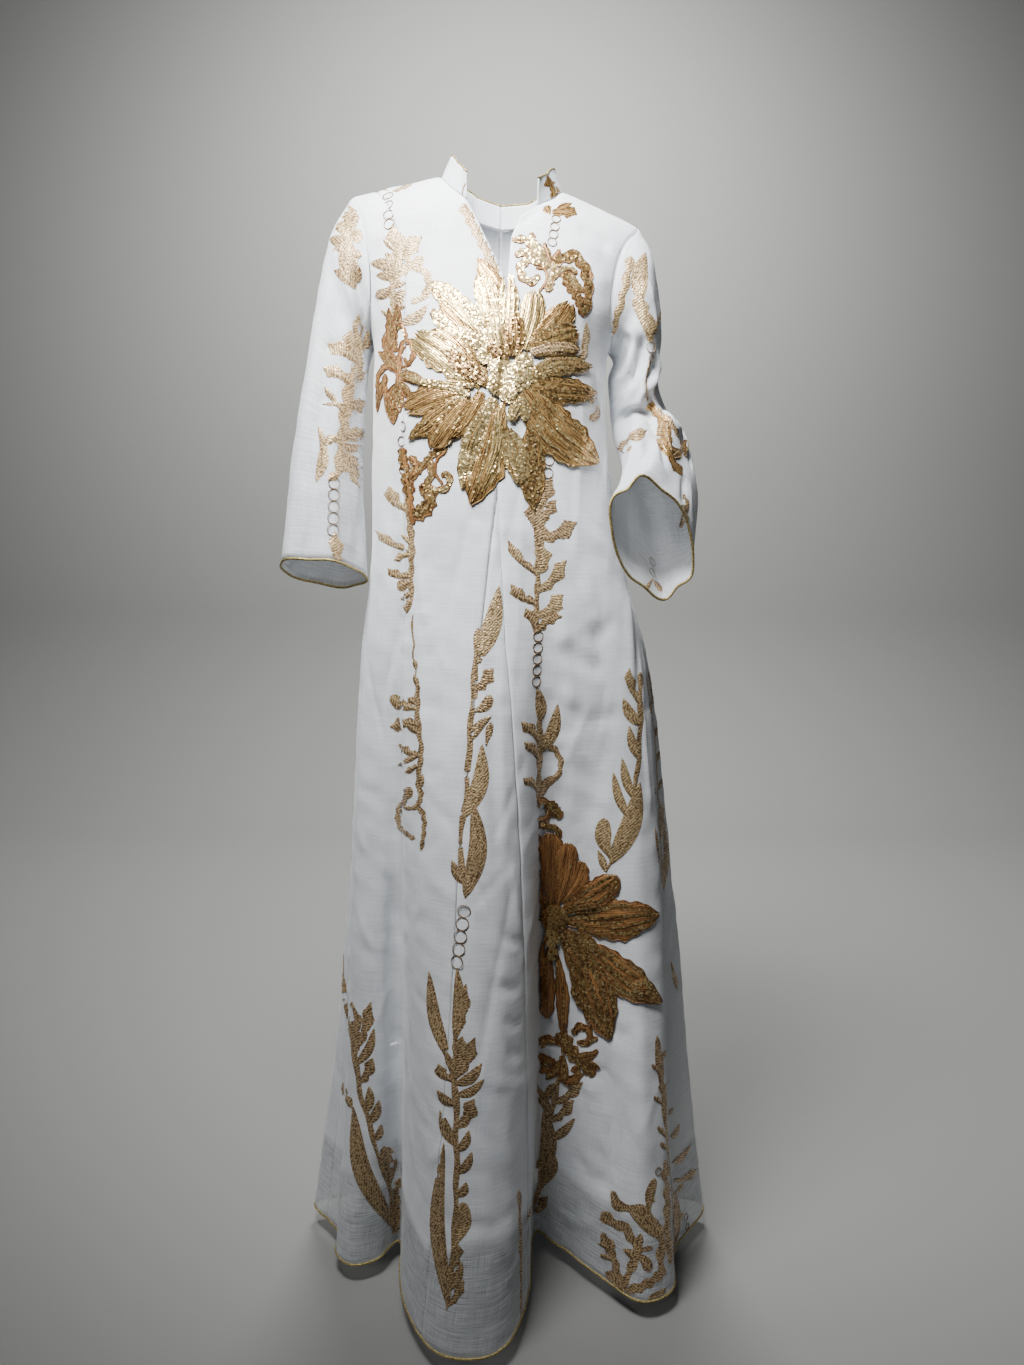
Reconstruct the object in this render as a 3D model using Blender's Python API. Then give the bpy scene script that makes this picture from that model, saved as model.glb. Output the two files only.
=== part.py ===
"""A white kaftan maxi dress with gold sequin flowers, hollow and open as it is worn.

Metres, +Z up. The front faces -Y and the wearer's right is at -X. The origin is the middle of the
neckline between the shoulder seams, where the wearer holds the dress up.
"""

import math

import bmesh
import bpy
import numpy as np

CLOTH = 0.0015  # thickness of one layer of cloth
SEAM_GAP = 0.0003  # space between two pieces at a seam
APPLIQUE = 0.0012  # thickness of a sequinned applique
PIPING_RADIUS = 0.0017

HEM_Z = -1.440
ARMPIT_Z = -0.190
PLEAT_TOP_Z = -0.380
LINING_TOP_Z = -1.120
LINING_HEM_Z = -1.320
OVAL_POWER = 2.2  # 2 is an ellipse, and more is a squarer oval
FOLD_FALL = 1.25  # 1 is a fold that deepens evenly down to the hem, and more is a later one

SHOULDER_TILT = math.tan(math.radians(6.5))  # the wearer's right shoulder is the higher one
TILT_FULL_Z, TILT_NONE_Z = -0.05, -0.30

RIDGE_NECK_Z = 0.008  # height of the shoulder seam beside the neck
RIDGE_NECK_HALF = 0.077
RIDGE_MIDDLE_X = -0.002
RIDGE_SLOPE = 0.307
RIDGE_ROUNDING = 0.070  # how far below the seam the shoulder keeps turning over

# The plain ovals that the body hangs in, from hem to neck.
# Columns: height, centre x, half width, front depth and back depth.
OVALS = (
    (-1.440, 0.006, 0.272, 0.085, 0.215),
    (-1.200, 0.008, 0.247, 0.098, 0.200),
    (-0.920, 0.007, 0.224, 0.112, 0.180),
    (-0.790, 0.005, 0.213, 0.120, 0.168),
    (-0.590, 0.000, 0.191, 0.130, 0.138),
    (-0.460, -0.009, 0.164, 0.132, 0.114),
    (-0.357, -0.016, 0.155, 0.134, 0.104),
    (-0.255, -0.018, 0.150, 0.135, 0.106),
    (-0.190, -0.016, 0.152, 0.126, 0.108),
    (-0.150, -0.015, 0.168, 0.116, 0.108),
    (-0.100, -0.014, 0.183, 0.100, 0.104),
    (-0.060, -0.013, 0.190, 0.088, 0.096),
    (-0.020, -0.010, 0.197, 0.077, 0.086),
    (0.030, -0.002, 0.205, 0.070, 0.076),
)

# Where the hem hangs: one row for each crest, valley or side of a fold. The turn runs round the
# body from the front middle at 0 to the wearer's left at 90, and starts_z is where a fold begins.
# Columns: turn, x, y, and the height where the fold starts.
HEM_WAVES = (
    (-172.0, -0.045, 0.212, -0.42),
    (-160.0, -0.118, 0.262, -0.50),
    (-147.0, -0.152, 0.196, -0.42),
    (-132.0, -0.226, 0.206, -0.46),
    (-119.0, -0.226, 0.140, -0.40),
    (-104.0, -0.292, 0.106, -0.62),
    (-92.0, -0.246, 0.042, -0.55),
    (-80.0, -0.240, -0.006, -0.55),
    (-66.0, -0.214, -0.034, -0.50),
    (-52.0, -0.178, -0.020, -0.46),
    (-43.0, -0.150, 0.012, -0.44),
    (-37.0, -0.141, -0.072, -0.44),
    (-28.0, -0.108, -0.163, -0.44),
    (-14.0, -0.046, -0.206, -0.44),
    (-2.0, 0.010, -0.172, -0.44),
    (6.0, 0.033, -0.088, -0.44),
    (13.0, 0.040, 0.022, -0.44),
    (26.0, 0.078, 0.006, -0.46),
    (42.0, 0.130, -0.054, -0.52),
    (58.0, 0.188, -0.106, -0.56),
    (69.0, 0.230, -0.078, -0.52),
    (78.0, 0.240, -0.012, -0.46),
    (96.0, 0.302, 0.104, -0.60),
    (110.0, 0.234, 0.140, -0.42),
    (122.0, 0.238, 0.206, -0.46),
    (136.0, 0.158, 0.194, -0.42),
    (150.0, 0.126, 0.264, -0.48),
    (164.0, 0.056, 0.210, -0.42),
    (176.0, 0.004, 0.268, -0.52),
)

# Turns of the lengthwise seams, by height.
SEAM_HEIGHTS = (HEM_Z, -0.83, -0.57, PLEAT_TOP_Z, ARMPIT_Z)
SEAMS = {
    "side_right": (-97.0, -95.0, -93.0, -92.0, -90.0),
    "princess_right": (-41.0, -41.0, -41.0, -41.0, -41.0),
    "pleat_right": (-27.0, -16.0, -7.5, 2.3, 6.0),
    "pleat_left": (6.0, 3.5, 0.8, 2.3, 6.0),
    "side_left": (73.0, 75.0, 78.0, 84.0, 90.0),
    "centre_back": (180.0, 180.0, 180.0, 180.0, 180.0),
    "side_right_from_back": (263.0, 265.0, 267.0, 268.0, 270.0),
}

# The inner edge of each half of the yoke, from the armpit up to the neck end of the shoulder seam.
# Columns: rise, x and height.
FRONT_RIGHT_EDGE = (
    (0.00, 0.003, -0.190),
    (0.34, 0.002, -0.128),
    (0.60, -0.020, -0.082),
    (0.84, -0.044, -0.034),
    (0.93, -0.065, -0.016),
    (1.00, -0.079, 0.008),
)
FRONT_LEFT_EDGE = (
    (0.00, 0.003, -0.190),
    (0.34, 0.006, -0.128),
    (0.60, 0.010, -0.078),
    (0.76, 0.022, -0.048),
    (0.84, 0.042, -0.030),
    (0.93, 0.064, -0.014),
    (1.00, 0.075, 0.008),
)
# The inner edge of the back has the centre x and the half width of the neck in its place.
BACK_EDGE = (
    (0.00, -0.016, 0.000, -0.190),
    (0.50, -0.010, 0.000, -0.105),
    (0.84, -0.004, 0.000, -0.022),
    (0.90, -0.003, 0.040, -0.016),
    (0.95, -0.002, 0.064, -0.006),
    (1.00, -0.002, 0.077, 0.008),
)
# The armhole, as a distance from the middle of the body.
ARMHOLE = (
    (0.00, 0.152, -0.190),
    (0.24, 0.149, -0.150),
    (0.54, 0.152, -0.100),
    (0.78, 0.163, -0.060),
    (1.00, 0.183, -0.0245),
)

SKIRT_HEIGHTS = (
    (HEM_Z, -1.380, LINING_HEM_Z, -1.220, LINING_TOP_Z, -1.040, -0.960, -0.880)
    + (-0.800, -0.720, -0.640, -0.560, -0.470, PLEAT_TOP_Z, -0.320, -0.255, ARMPIT_Z)
)
YOKE_RISES = (0.0, 0.12, 0.23, 0.34, 0.47, 0.60, 0.72, 0.84, 0.90, 0.95, 1.0)
COLLAR_RISES = (0.84, 0.90, 0.95, 1.0)
COLLAR_HEIGHT = 0.029
COLLAR_LEAN = 0.60  # inward for each metre along the collar, beside and behind the neck
COLLAR_ROWS = 3
COLLAR_ALONG_CLOTH = (0.35, 0.35, 1.0)  # how far the collar stands off the cloth at its foot
COLLAR_UPRIGHT = (0.0, 0.0, 0.6)
COLLAR_LEAN_STEPS = 3.0  # the lean is full a third of the way from the slit to the centre back

# Sleeve sections: the outer and the inner point of the tube, and the way from its middle to its front.
# Columns: outer point, inner point, and the way from the middle to the front.
RIGHT_SLEEVE = (
    ((-0.211, 0.000, -0.036), (-0.171, 0.000, -0.199), (0.0, -0.062, 0.000)),
    ((-0.226, 0.000, -0.076), (-0.174, 0.000, -0.209), (0.0, -0.060, 0.000)),
    ((-0.237, -0.004, -0.129), (-0.176, -0.004, -0.226), (0.0, -0.058, 0.000)),
    ((-0.248, -0.010, -0.192), (-0.178, -0.010, -0.256), (0.0, -0.057, 0.000)),
    ((-0.259, -0.016, -0.255), (-0.180, -0.016, -0.296), (0.0, -0.057, 0.002)),
    ((-0.269, -0.022, -0.319), (-0.182, -0.022, -0.345), (0.0, -0.058, 0.004)),
    ((-0.277, -0.028, -0.390), (-0.180, -0.028, -0.408), (0.0, -0.061, 0.008)),
    ((-0.286, -0.034, -0.472), (-0.177, -0.034, -0.482), (0.0, -0.066, 0.018)),
)
LEFT_SLEEVE = (
    ((0.187, 0.000, -0.072), (0.141, 0.000, -0.203), (0.000, -0.060, 0.000)),
    ((0.198, 0.000, -0.118), (0.144, 0.000, -0.214), (0.000, -0.059, 0.000)),
    ((0.204, 0.005, -0.175), (0.147, 0.002, -0.236), (0.000, -0.058, 0.000)),
    ((0.200, 0.012, -0.234), (0.150, 0.008, -0.262), (0.000, -0.056, 0.006)),
    ((0.222, 0.022, -0.288), (0.152, 0.008, -0.290), (0.000, -0.042, 0.018)),
    ((0.247, 0.015, -0.335), (0.153, -0.022, -0.326), (-0.004, -0.040, 0.044)),
    ((0.249, -0.030, -0.375), (0.149, -0.068, -0.370), (-0.012, -0.036, 0.056)),
    ((0.237, -0.080, -0.405), (0.142, -0.112, -0.418), (-0.022, -0.033, 0.062)),
    ((0.223, -0.115, -0.420), (0.134, -0.145, -0.455), (-0.030, -0.030, 0.066)),
)
SLEEVE_ROWS = {"right": 9, "left": 12}
ELBOW_PLACE, ELBOW_SPREAD = 0.6, 0.2  # along a sleeve, from its armhole at 0 to its cuff at 1
# Soft waves round a sleeve: how many, their depth at the cuff and at the elbow, and their place.
SLEEVE_WAVES = {"right": (5, 0.006, 0.002, 40.0), "left": (6, 0.006, 0.004, 70.0)}

# Columns: name, first seam, last seam, columns, face (-1 is the front) and side (-1 is the right).
PANELS = (
    ("side_front_right", "side_right", "princess_right", 11, -1, -1),
    ("front_right", "princess_right", "pleat_right", 7, -1, -1),
    ("front_left", "pleat_left", "side_left", 18, -1, 1),
    ("back_left", "side_left", "centre_back", 16, 1, 1),
    ("back_right", "centre_back", "side_right_from_back", 16, 1, -1),
)
INSET_COLUMNS = 6
INSET_POINT_GAP = 0.006  # the inset's point ends this far below the top of the pleat
COLLAR_EDGE_RADIUS = 0.0011
CUFF_PIPING_GAP = 0.0005
APPLIQUE_LIFT = 0.0005
UP = (0.0, 0.0, 1.0)

FLOWER_CORE = 0.50  # how far the outline stays out between petals, as a share of their mean length
PETAL_RELIEF = 0.0012
CHEST_ROWS = (12, 24)  # rows of the panels' points, from the waist to the top of the slit
SKIRT_FLOWER_ROWS = (2, 11)
CUTTER_NEAR_Y, CUTTER_FAR_Y = -0.30, 0.05
# place is the x and height of the middle, the first and last turn, and how many columns. A turn
# of 0 is up and 90 is to the wearer's left.
# Columns: turn, length and half angle of each petal.
FLOWERS = {
    "chest_flower": {
        "place": (0.009, -0.247, 0.0, 360.0, 60),
        "petals": (
            (-14.0, 0.132, 20.2),
            (-41.0, 0.140, 17.6),
            (-65.0, 0.120, 20.2),
            (-117.0, 0.134, 20.2),
            (-136.0, 0.112, 16.2),
            (-162.0, 0.158, 18.9),
            (174.0, 0.130, 17.6),
            (136.0, 0.146, 21.6),
            (101.0, 0.106, 24.3),
            (66.0, 0.094, 18.9),
            (43.0, 0.112, 18.9),
            (20.0, 0.098, 18.9),
        ),
    },
    "skirt_flower": {
        "place": (0.072, -0.930, -8.0, 190.0, 34),
        "petals": (
            (-4.0, 0.106, 16.2),
            (16.0, 0.090, 18.9),
            (50.0, 0.096, 20.2),
            (85.0, 0.122, 18.9),
            (129.0, 0.158, 18.9),
            (156.0, 0.156, 17.6),
            (186.0, 0.118, 16.2),
        ),
    },
}
# Columns: x, height and half width.
SCROLLS = {
    "slit_band": (
        (-0.0425, -0.040, 0.0025),
        (-0.0350, -0.056, 0.0040),
        (-0.0270, -0.074, 0.0055),
        (-0.0180, -0.092, 0.0060),
    ),
    "scroll_upper_outer": (
        (0.054, -0.136, 0.005),
        (0.052, -0.120, 0.007),
        (0.062, -0.109, 0.008),
        (0.079, -0.111, 0.009),
        (0.092, -0.123, 0.009),
        (0.100, -0.140, 0.008),
        (0.098, -0.158, 0.006),
        (0.094, -0.173, 0.002),
    ),
    "scroll_upper_inner": (
        (0.040, -0.140, 0.003),
        (0.030, -0.137, 0.005),
        (0.023, -0.129, 0.005),
        (0.022, -0.118, 0.005),
        (0.029, -0.108, 0.005),
        (0.026, -0.098, 0.004),
        (0.018, -0.091, 0.002),
    ),
    "scroll_side": (
        (-0.130, -0.163, 0.003),
        (-0.134, -0.190, 0.009),
        (-0.139, -0.216, 0.011),
        (-0.136, -0.240, 0.010),
        (-0.140, -0.266, 0.009),
        (-0.136, -0.288, 0.002),
    ),
    "scroll_lower": (
        (-0.077, -0.345, 0.003),
        (-0.089, -0.350, 0.005),
        (-0.094, -0.361, 0.005),
        (-0.088, -0.372, 0.005),
        (-0.075, -0.377, 0.004),
        (-0.065, -0.371, 0.003),
    ),
    "leaf_lower": (
        (-0.122, -0.327, 0.002),
        (-0.117, -0.351, 0.008),
        (-0.111, -0.385, 0.008),
        (-0.098, -0.412, 0.002),
    ),
}

WHITE = (0.86, 0.88, 0.90, 1.0)
GOLD = (0.62, 0.42, 0.20, 1.0)


def curve_through(knots, values, at):
    """Values at the places `at` on a smooth curve through the knots, which rise."""
    knots = np.asarray(knots, float)
    values = np.asarray(values, float)
    at = np.clip(np.asarray(at, float), knots[0], knots[-1])
    slopes = np.gradient(values, knots, axis=0)
    i = np.clip(np.searchsorted(knots, at, side="right") - 1, 0, len(knots) - 2)
    span = knots[i + 1] - knots[i]
    t = (at - knots[i]) / span
    extra = (1,) * (values.ndim - 1)
    span, t = span.reshape(span.shape + extra), t.reshape(t.shape + extra)
    start = values[i] * (1 + 2 * t) * (1 - t) ** 2 + slopes[i] * span * t * (1 - t) ** 2
    end = values[i + 1] * t**2 * (3 - 2 * t) - slopes[i + 1] * span * t**2 * (1 - t)
    return start + end


def unit(vectors):
    """The vectors with length 1."""
    return vectors / np.maximum(np.linalg.norm(vectors, axis=-1, keepdims=True), 1e-12)


def smooth_step(t):
    """0 below 0 and 1 above 1, with a soft start and end."""
    t = np.clip(t, 0.0, 1.0)
    return t * t * (3 - 2 * t)


def oval_at(height):
    """Centre x, half width, front and back depth of the plain oval at a height."""
    table = np.array(OVALS)
    return np.moveaxis(curve_through(table[:, 0], table[:, 1:], height), -1, 0)


def oval_point(turn, height):
    """x and y on the plain oval at a turn in degrees."""
    centre_x, half_width, front, back = oval_at(height)
    sine, cosine = np.sin(np.radians(turn)), np.cos(np.radians(turn))
    x = centre_x + half_width * np.sign(sine) * np.abs(sine) ** (2 / OVAL_POWER)
    depth = np.where(cosine > 0, front, back)
    y = -depth * np.sign(cosine) * np.abs(cosine) ** (2 / OVAL_POWER)
    return np.stack([x, y], axis=-1)


def hem_wave(turn):
    """x, y of the hem and the height where its fold starts, at a turn in degrees."""
    table = np.array(HEM_WAVES)
    turns = np.concatenate([table[:, 0] - 360, table[:, 0], table[:, 0] + 360])
    values = np.concatenate([table[:, 1:]] * 3)
    return curve_through(turns, values, turn)


def tilted(points):
    """The points with the shoulders tilted to the wearer's right."""
    share = smooth_step((points[..., 2] - TILT_NONE_Z) / (TILT_FULL_Z - TILT_NONE_Z))
    moved = points.copy()
    moved[..., 2] -= SHOULDER_TILT * points[..., 0] * share
    return moved


def skirt_point(turn, height):
    """A point on the outside of the body below the armpits."""
    turn, height = np.broadcast_arrays(np.asarray(turn, float), np.asarray(height, float))
    plain = oval_point(turn, height)
    hem = hem_wave(turn)
    fold = hem[..., :2] - oval_point(turn, np.full(turn.shape, HEM_Z))
    fallen = np.clip((hem[..., 2] - height) / (hem[..., 2] - HEM_Z), 0, 1) ** FOLD_FALL
    xy = plain + fold * fallen[..., None]
    return tilted(np.concatenate([xy, height[..., None]], axis=-1))


def normals_of(surface, u, v, step_u, step_v):
    """Unit normals of surface(u, v), from its slopes both ways."""
    along_u = surface(u + step_u, v) - surface(u - step_u, v)
    along_v = surface(u, v + step_v) - surface(u, v - step_v)
    return unit(np.cross(along_u, along_v))


def ridge_height(x):
    """Height of the shoulder seam above x."""
    return RIDGE_NECK_Z - RIDGE_SLOPE * np.maximum(np.abs(x - RIDGE_MIDDLE_X) - RIDGE_NECK_HALF, 0)


def torso_depth(x, height, face):
    """y of the front (face -1) or back (face 1) of the body above the hips."""
    centre_x, half_width, front, back = oval_at(height)
    depth = front if face < 0 else back
    across = np.clip(np.abs(x - centre_x) / half_width, 0, 1)
    turning = np.clip((ridge_height(x) - height) / RIDGE_ROUNDING, 0, 1)
    rounded = np.sqrt(turning * (2 - turning))
    return face * depth * rounded * (1 - across**OVAL_POWER) ** (1 / OVAL_POWER)


def yoke_edge(face, side, rise):
    """x and height of the inner edge of a quarter of the yoke."""
    if face > 0:
        rises, centre, half_width, heights = np.array(BACK_EDGE).T
        table = np.stack([rises, centre + side * half_width, heights], axis=1)
    else:
        table = np.array(FRONT_LEFT_EDGE if side > 0 else FRONT_RIGHT_EDGE)
    return np.stack([np.interp(rise, table[:, 0], table[:, k]) for k in (1, 2)], axis=-1)


def armhole_edge(side, rise):
    """x and height of the armhole on one side."""
    table = np.array(ARMHOLE)
    out_and_up = curve_through(table[:, 0], table[:, 1:], rise)
    x = oval_at(out_and_up[..., 1])[0] + side * out_and_up[..., 0]
    return np.stack([x, out_and_up[..., 1]], axis=-1)


def yoke_point(face, side, across, rise):
    """A point on the outside of the yoke: across is 0 at its inner edge and 1 at the armhole."""
    across, rise = np.broadcast_arrays(np.asarray(across, float), np.asarray(rise, float))
    inner, outer = yoke_edge(face, side, rise), armhole_edge(side, rise)
    xz = inner + (outer - inner) * across[..., None]
    ridge = ridge_height(xz[..., 0])
    height = np.where(rise >= 1, ridge, np.minimum(xz[..., 1], ridge))
    y = torso_depth(xz[..., 0], height, face)
    return tilted(np.stack([xz[..., 0], y, height], axis=-1))


def yoke_normals(face, side, across, rise):
    """Unit normals of the yoke, read just inside its edges."""
    across = np.clip(across, 0.005, 0.985)
    rise = np.clip(rise, 0.004, 0.985)

    def surface(u, v):
        return yoke_point(face, side, u, v)

    found = normals_of(surface, across, rise, 0.004, 0.003)
    outward = np.sign(np.sum(found * (0.0, face, 0.5), axis=-1, keepdims=True))
    return found * outward


def skirt_normals(turn, height):
    """Unit normals of the body below the armpits, outwards."""
    return normals_of(skirt_point, turn, height, 0.4, 0.003)


def pulled_in(grid, columns=True):
    """A grid of points with two opposite edges drawn back by half a seam gap."""
    grid = grid.copy() if columns else grid.swapaxes(0, 1).copy()
    grid[:, 0] += unit(grid[:, 1] - grid[:, 0]) * SEAM_GAP / 2
    grid[:, -1] += unit(grid[:, -2] - grid[:, -1]) * SEAM_GAP / 2
    return grid if columns else grid.swapaxes(0, 1)


def material(name, colour, roughness, metallic=0.0):
    """A Principled material, made once."""
    found = bpy.data.materials.get(name) or bpy.data.materials.new(name)
    found.use_nodes = True
    shader = found.node_tree.nodes["Principled BSDF"]
    shader.inputs["Base Color"].default_value = colour
    shader.inputs["Roughness"].default_value = roughness
    shader.inputs["Metallic"].default_value = metallic
    return found


def finished(name, mesh, collection, finish):
    """The mesh as an object of the dress, shaded smooth, with its material."""
    obj = bpy.data.objects.new(name, mesh)
    collection.objects.link(obj)
    obj.data.materials.append(finish)
    mesh.shade_smooth()
    mesh.set_sharp_from_angle(angle=math.radians(50))
    return obj


def wall(name, outer, inner, collection, finish, round_about=False):
    """A closed wall between two grids of points, rows by columns.

    round_about joins its last column to its first. Every face starts at the same corner, so that
    both sides of the wall are split into triangles the same way.
    """
    rows, columns = outer.shape[:2]
    facing = np.cross(outer[:-1, 1:] - outer[:-1, :-1], outer[1:, :-1] - outer[:-1, :-1])
    turned = np.sum(facing * (outer - inner)[:-1, :-1]) < 0
    bm = bmesh.new()
    out = [[bm.verts.new(point) for point in row] for row in outer]
    into = [[bm.verts.new(point) for point in row] for row in inner]

    def face(first, second, third, fourth, flipped=False):
        corners = (first, fourth, third, second) if flipped != turned else (first, second, third, fourth)
        bm.faces.new(corners)

    for c in range(columns if round_about else columns - 1):
        d = (c + 1) % columns
        for r in range(rows - 1):
            face(out[r][c], out[r][d], out[r + 1][d], out[r + 1][c])
            face(into[r][c], into[r][d], into[r + 1][d], into[r + 1][c], flipped=True)
        face(into[0][c], into[0][d], out[0][d], out[0][c])
        face(out[-1][c], out[-1][d], into[-1][d], into[-1][c])
    if not round_about:
        for r in range(rows - 1):
            face(out[r][0], out[r + 1][0], into[r + 1][0], into[r][0])
            face(out[r + 1][-1], out[r][-1], into[r][-1], into[r + 1][-1])
    mesh = bpy.data.meshes.new(name)
    bm.to_mesh(mesh)
    bm.free()
    return finished(name, mesh, collection, finish)


def seam_turn(seam, height):
    """The turn of a lengthwise seam at a height."""
    return np.interp(height, SEAM_HEIGHTS, SEAMS[seam])


def across_of(face, side, turn):
    """How far across the yoke a turn lies at the armpit, from its centre seam to its armhole."""
    centre = seam_turn("centre_back" if face > 0 else "pleat_left", ARMPIT_Z)
    inner, x = (oval_point(place, np.full(np.shape(place), ARMPIT_Z))[..., 0] for place in (centre, turn))
    return np.clip((x - inner) / (armhole_edge(side, 0.0)[0] - inner), 0, 1)


def body_panel(name, first, last, columns, face, side, collection, finish):
    """A lengthwise panel between two seams, from the hem to the shoulder. Returns its outer grid."""
    heights = np.array(SKIRT_HEIGHTS)[:, None]
    share = np.linspace(0, 1, columns + 1)[None, :]
    turns = seam_turn(first, heights) * (1 - share) + seam_turn(last, heights) * share
    low = skirt_point(turns, heights)
    low_normals = skirt_normals(turns, heights)
    across = across_of(face, side, turns[-1])[None, :]
    rises = np.array(YOKE_RISES)[1:, None]
    high = yoke_point(face, side, across, rises)
    high_normals = yoke_normals(face, side, across, rises)
    high_normals[-1] = UP
    outer = np.concatenate([low, high])
    normals = np.concatenate([low_normals, high_normals])
    outer = pulled_in(pulled_in(outer), columns=False)
    wall(name, outer, outer - normals * CLOTH, collection, finish)
    return outer, normals


def pleat_inset(collection, finish):
    """The inset of the front pleat, a long wedge down to the hem."""
    heights = np.array(SKIRT_HEIGHTS)
    heights = np.append(heights[heights < PLEAT_TOP_Z], PLEAT_TOP_Z - INSET_POINT_GAP)[:, None]
    share = np.linspace(0, 1, INSET_COLUMNS + 1)[None, :]
    turns = seam_turn("pleat_right", heights) * (1 - share) + seam_turn("pleat_left", heights) * share
    outer = pulled_in(skirt_point(turns, heights))
    wall("pleat_inset", outer, outer - skirt_normals(turns, heights) * CLOTH, collection, finish)


def armhole_ring(side):
    """Points and normals round an armhole: front of the armpit, shoulder and back again."""
    rises = np.array(YOKE_RISES)
    parts, normals = [], []
    for face, order in ((-1, slice(None, -1)), (1, slice(None, 0, -1))):
        parts.append(yoke_point(face, side, 1.0, rises)[order])
        found = yoke_normals(face, side, 1.0, rises)
        found[-1] = UP
        found[0] = (side, 0.0, 0.0)
        normals.append(found[order])
    ring, normals = np.concatenate(parts), np.concatenate(normals)
    ring[:, 0] += side * SEAM_GAP
    return with_midpoints(ring), unit(with_midpoints(normals))


def with_midpoints(ring):
    """A closed ring with a point added halfway along each side."""
    middle = (ring + np.roll(ring, -1, axis=0)) / 2
    return np.stack([ring, middle], axis=1).reshape(-1, 3)


def sleeve_grid(side):
    """Outer points of a sleeve, rows from the armhole to the cuff."""
    ring, _ = armhole_ring(side)
    name = "left" if side > 0 else "right"
    sections = np.array(LEFT_SLEEVE if side > 0 else RIGHT_SLEEVE)
    outer, inner, to_front = sections[:, None, 0], sections[:, None, 1], sections[:, None, 2]
    steps = np.linalg.norm(np.roll(ring, -1, axis=0) - ring, axis=1)
    run = np.concatenate([[0], np.cumsum(steps)[:-1]])
    top = int(np.argmax(ring[:, 2]))
    turn = np.where(
        run <= run[top], 180 * run / run[top], 180 + 180 * (run - run[top]) / (steps.sum() - run[top])
    )
    sine, cosine = np.sin(np.radians(turn))[None, :, None], np.cos(np.radians(turn))[None, :, None]
    along = np.linspace(0, 1, len(sections) + 1)[1:, None, None]
    count, at_cuff, at_elbow, place = SLEEVE_WAVES[name]
    wave = np.cos(np.radians(count * turn + place))[None, :, None]
    depth = at_cuff * along**2 + at_elbow * np.exp(-(((along - ELBOW_PLACE) / ELBOW_SPREAD) ** 2))
    half_outer, middle = (outer - inner) / 2, (outer + inner) / 2
    radial = unit(-half_outer * cosine + to_front * sine)
    rings = middle - half_outer * cosine + to_front * sine + radial * wave * depth * sine**2
    knots = np.concatenate([ring[None], rings])
    places = np.linspace(0, len(knots) - 1, SLEEVE_ROWS[name] + 1)
    return curve_through(np.arange(len(knots)), knots, places)


def grid_normals(grid, outward_of):
    """Unit normals of a grid that runs round, pointing away from the middle of each row."""
    along = np.gradient(grid, axis=0)
    round_about = np.roll(grid, -1, axis=1) - np.roll(grid, 1, axis=1)
    found = unit(np.cross(along, round_about))
    away = np.sum(found * (grid - outward_of), axis=-1)
    return found * np.sign(np.sum(away))


def sleeve(side, collection, finish):
    """One sleeve as a wall. Returns the ring of its cuff."""
    grid = sleeve_grid(side)
    normals = grid_normals(grid, grid.mean(axis=1, keepdims=True))
    normals[0] = armhole_ring(side)[1]
    name = "sleeve_left" if side > 0 else "sleeve_right"
    inner = grid - normals * CLOTH
    wall(name, grid, inner, collection, finish, round_about=True)
    round_about = np.roll(grid[-1], -1, axis=0) - np.roll(grid[-1], 1, axis=0)
    below = unit(np.cross(round_about, normals[-1]))
    below = below * np.sign(np.sum(below * (grid[-1] - grid[-2])))
    return (grid[-1] + inner[-1]) / 2 + below * (PIPING_RADIUS + CUFF_PIPING_GAP)


def collar(side, collection, finish):
    """Half of the stand collar, on the neckline from the slit to the middle of the back."""
    rises = np.array(COLLAR_RISES)
    front, back = yoke_point(-1, side, 0.0, rises), yoke_point(1, side, 0.0, rises)
    front_normals, back_normals = yoke_normals(-1, side, 0.0, rises), yoke_normals(1, side, 0.0, rises)
    front_normals[-1] = UP
    back_normals[-1] = UP
    base = np.concatenate([front, back[-2::-1]])
    normals = np.concatenate([front_normals, back_normals[-2::-1]])
    base[-1, 0] += side * SEAM_GAP / 2
    normals[-1, 0] = 0.0
    normals = unit(normals)
    along = unit(np.gradient(base, axis=0))
    along[-1] = (-side, 0.0, 0.0)
    inward = unit(np.cross(normals, along)) * side
    lean = COLLAR_LEAN * smooth_step(np.linspace(0, COLLAR_LEAN_STEPS, len(base)))[:, None]
    start = base + inward * SEAM_GAP - normals * CLOTH
    rise_way = unit(normals * COLLAR_ALONG_CLOTH + COLLAR_UPRIGHT + inward * lean)
    rows = np.linspace(0, COLLAR_HEIGHT, COLLAR_ROWS + 1)[:, None, None]
    outer = start[None] + rise_way[None] * rows
    wall_way = unit(inward - rise_way * np.sum(inward * rise_way, axis=-1, keepdims=True))
    inner = outer + wall_way[None] * CLOTH
    name = "collar_left" if side > 0 else "collar_right"
    wall(name, outer, inner, collection, finish)
    edge = (outer[-1] + inner[-1]) / 2 + rise_way * (COLLAR_EDGE_RADIUS + SEAM_GAP)
    edge[-1, 0] += side * SEAM_GAP
    return edge


def piping(name, points, radius, collection, finish, closed=True):
    """A rolled edging along the points."""
    curve = bpy.data.curves.new(name, "CURVE")
    curve.dimensions = "3D"
    curve.bevel_depth = radius
    curve.bevel_resolution = 1
    curve.use_fill_caps = True
    spline = curve.splines.new("POLY")
    spline.points.add(len(points) - 1)
    spline.points.foreach_set("co", np.append(points, np.ones((len(points), 1)), axis=1).ravel())
    spline.use_cyclic_u = closed
    obj = bpy.data.objects.new(name, curve)
    collection.objects.link(obj)
    curve.materials.append(finish)
    return obj


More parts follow.
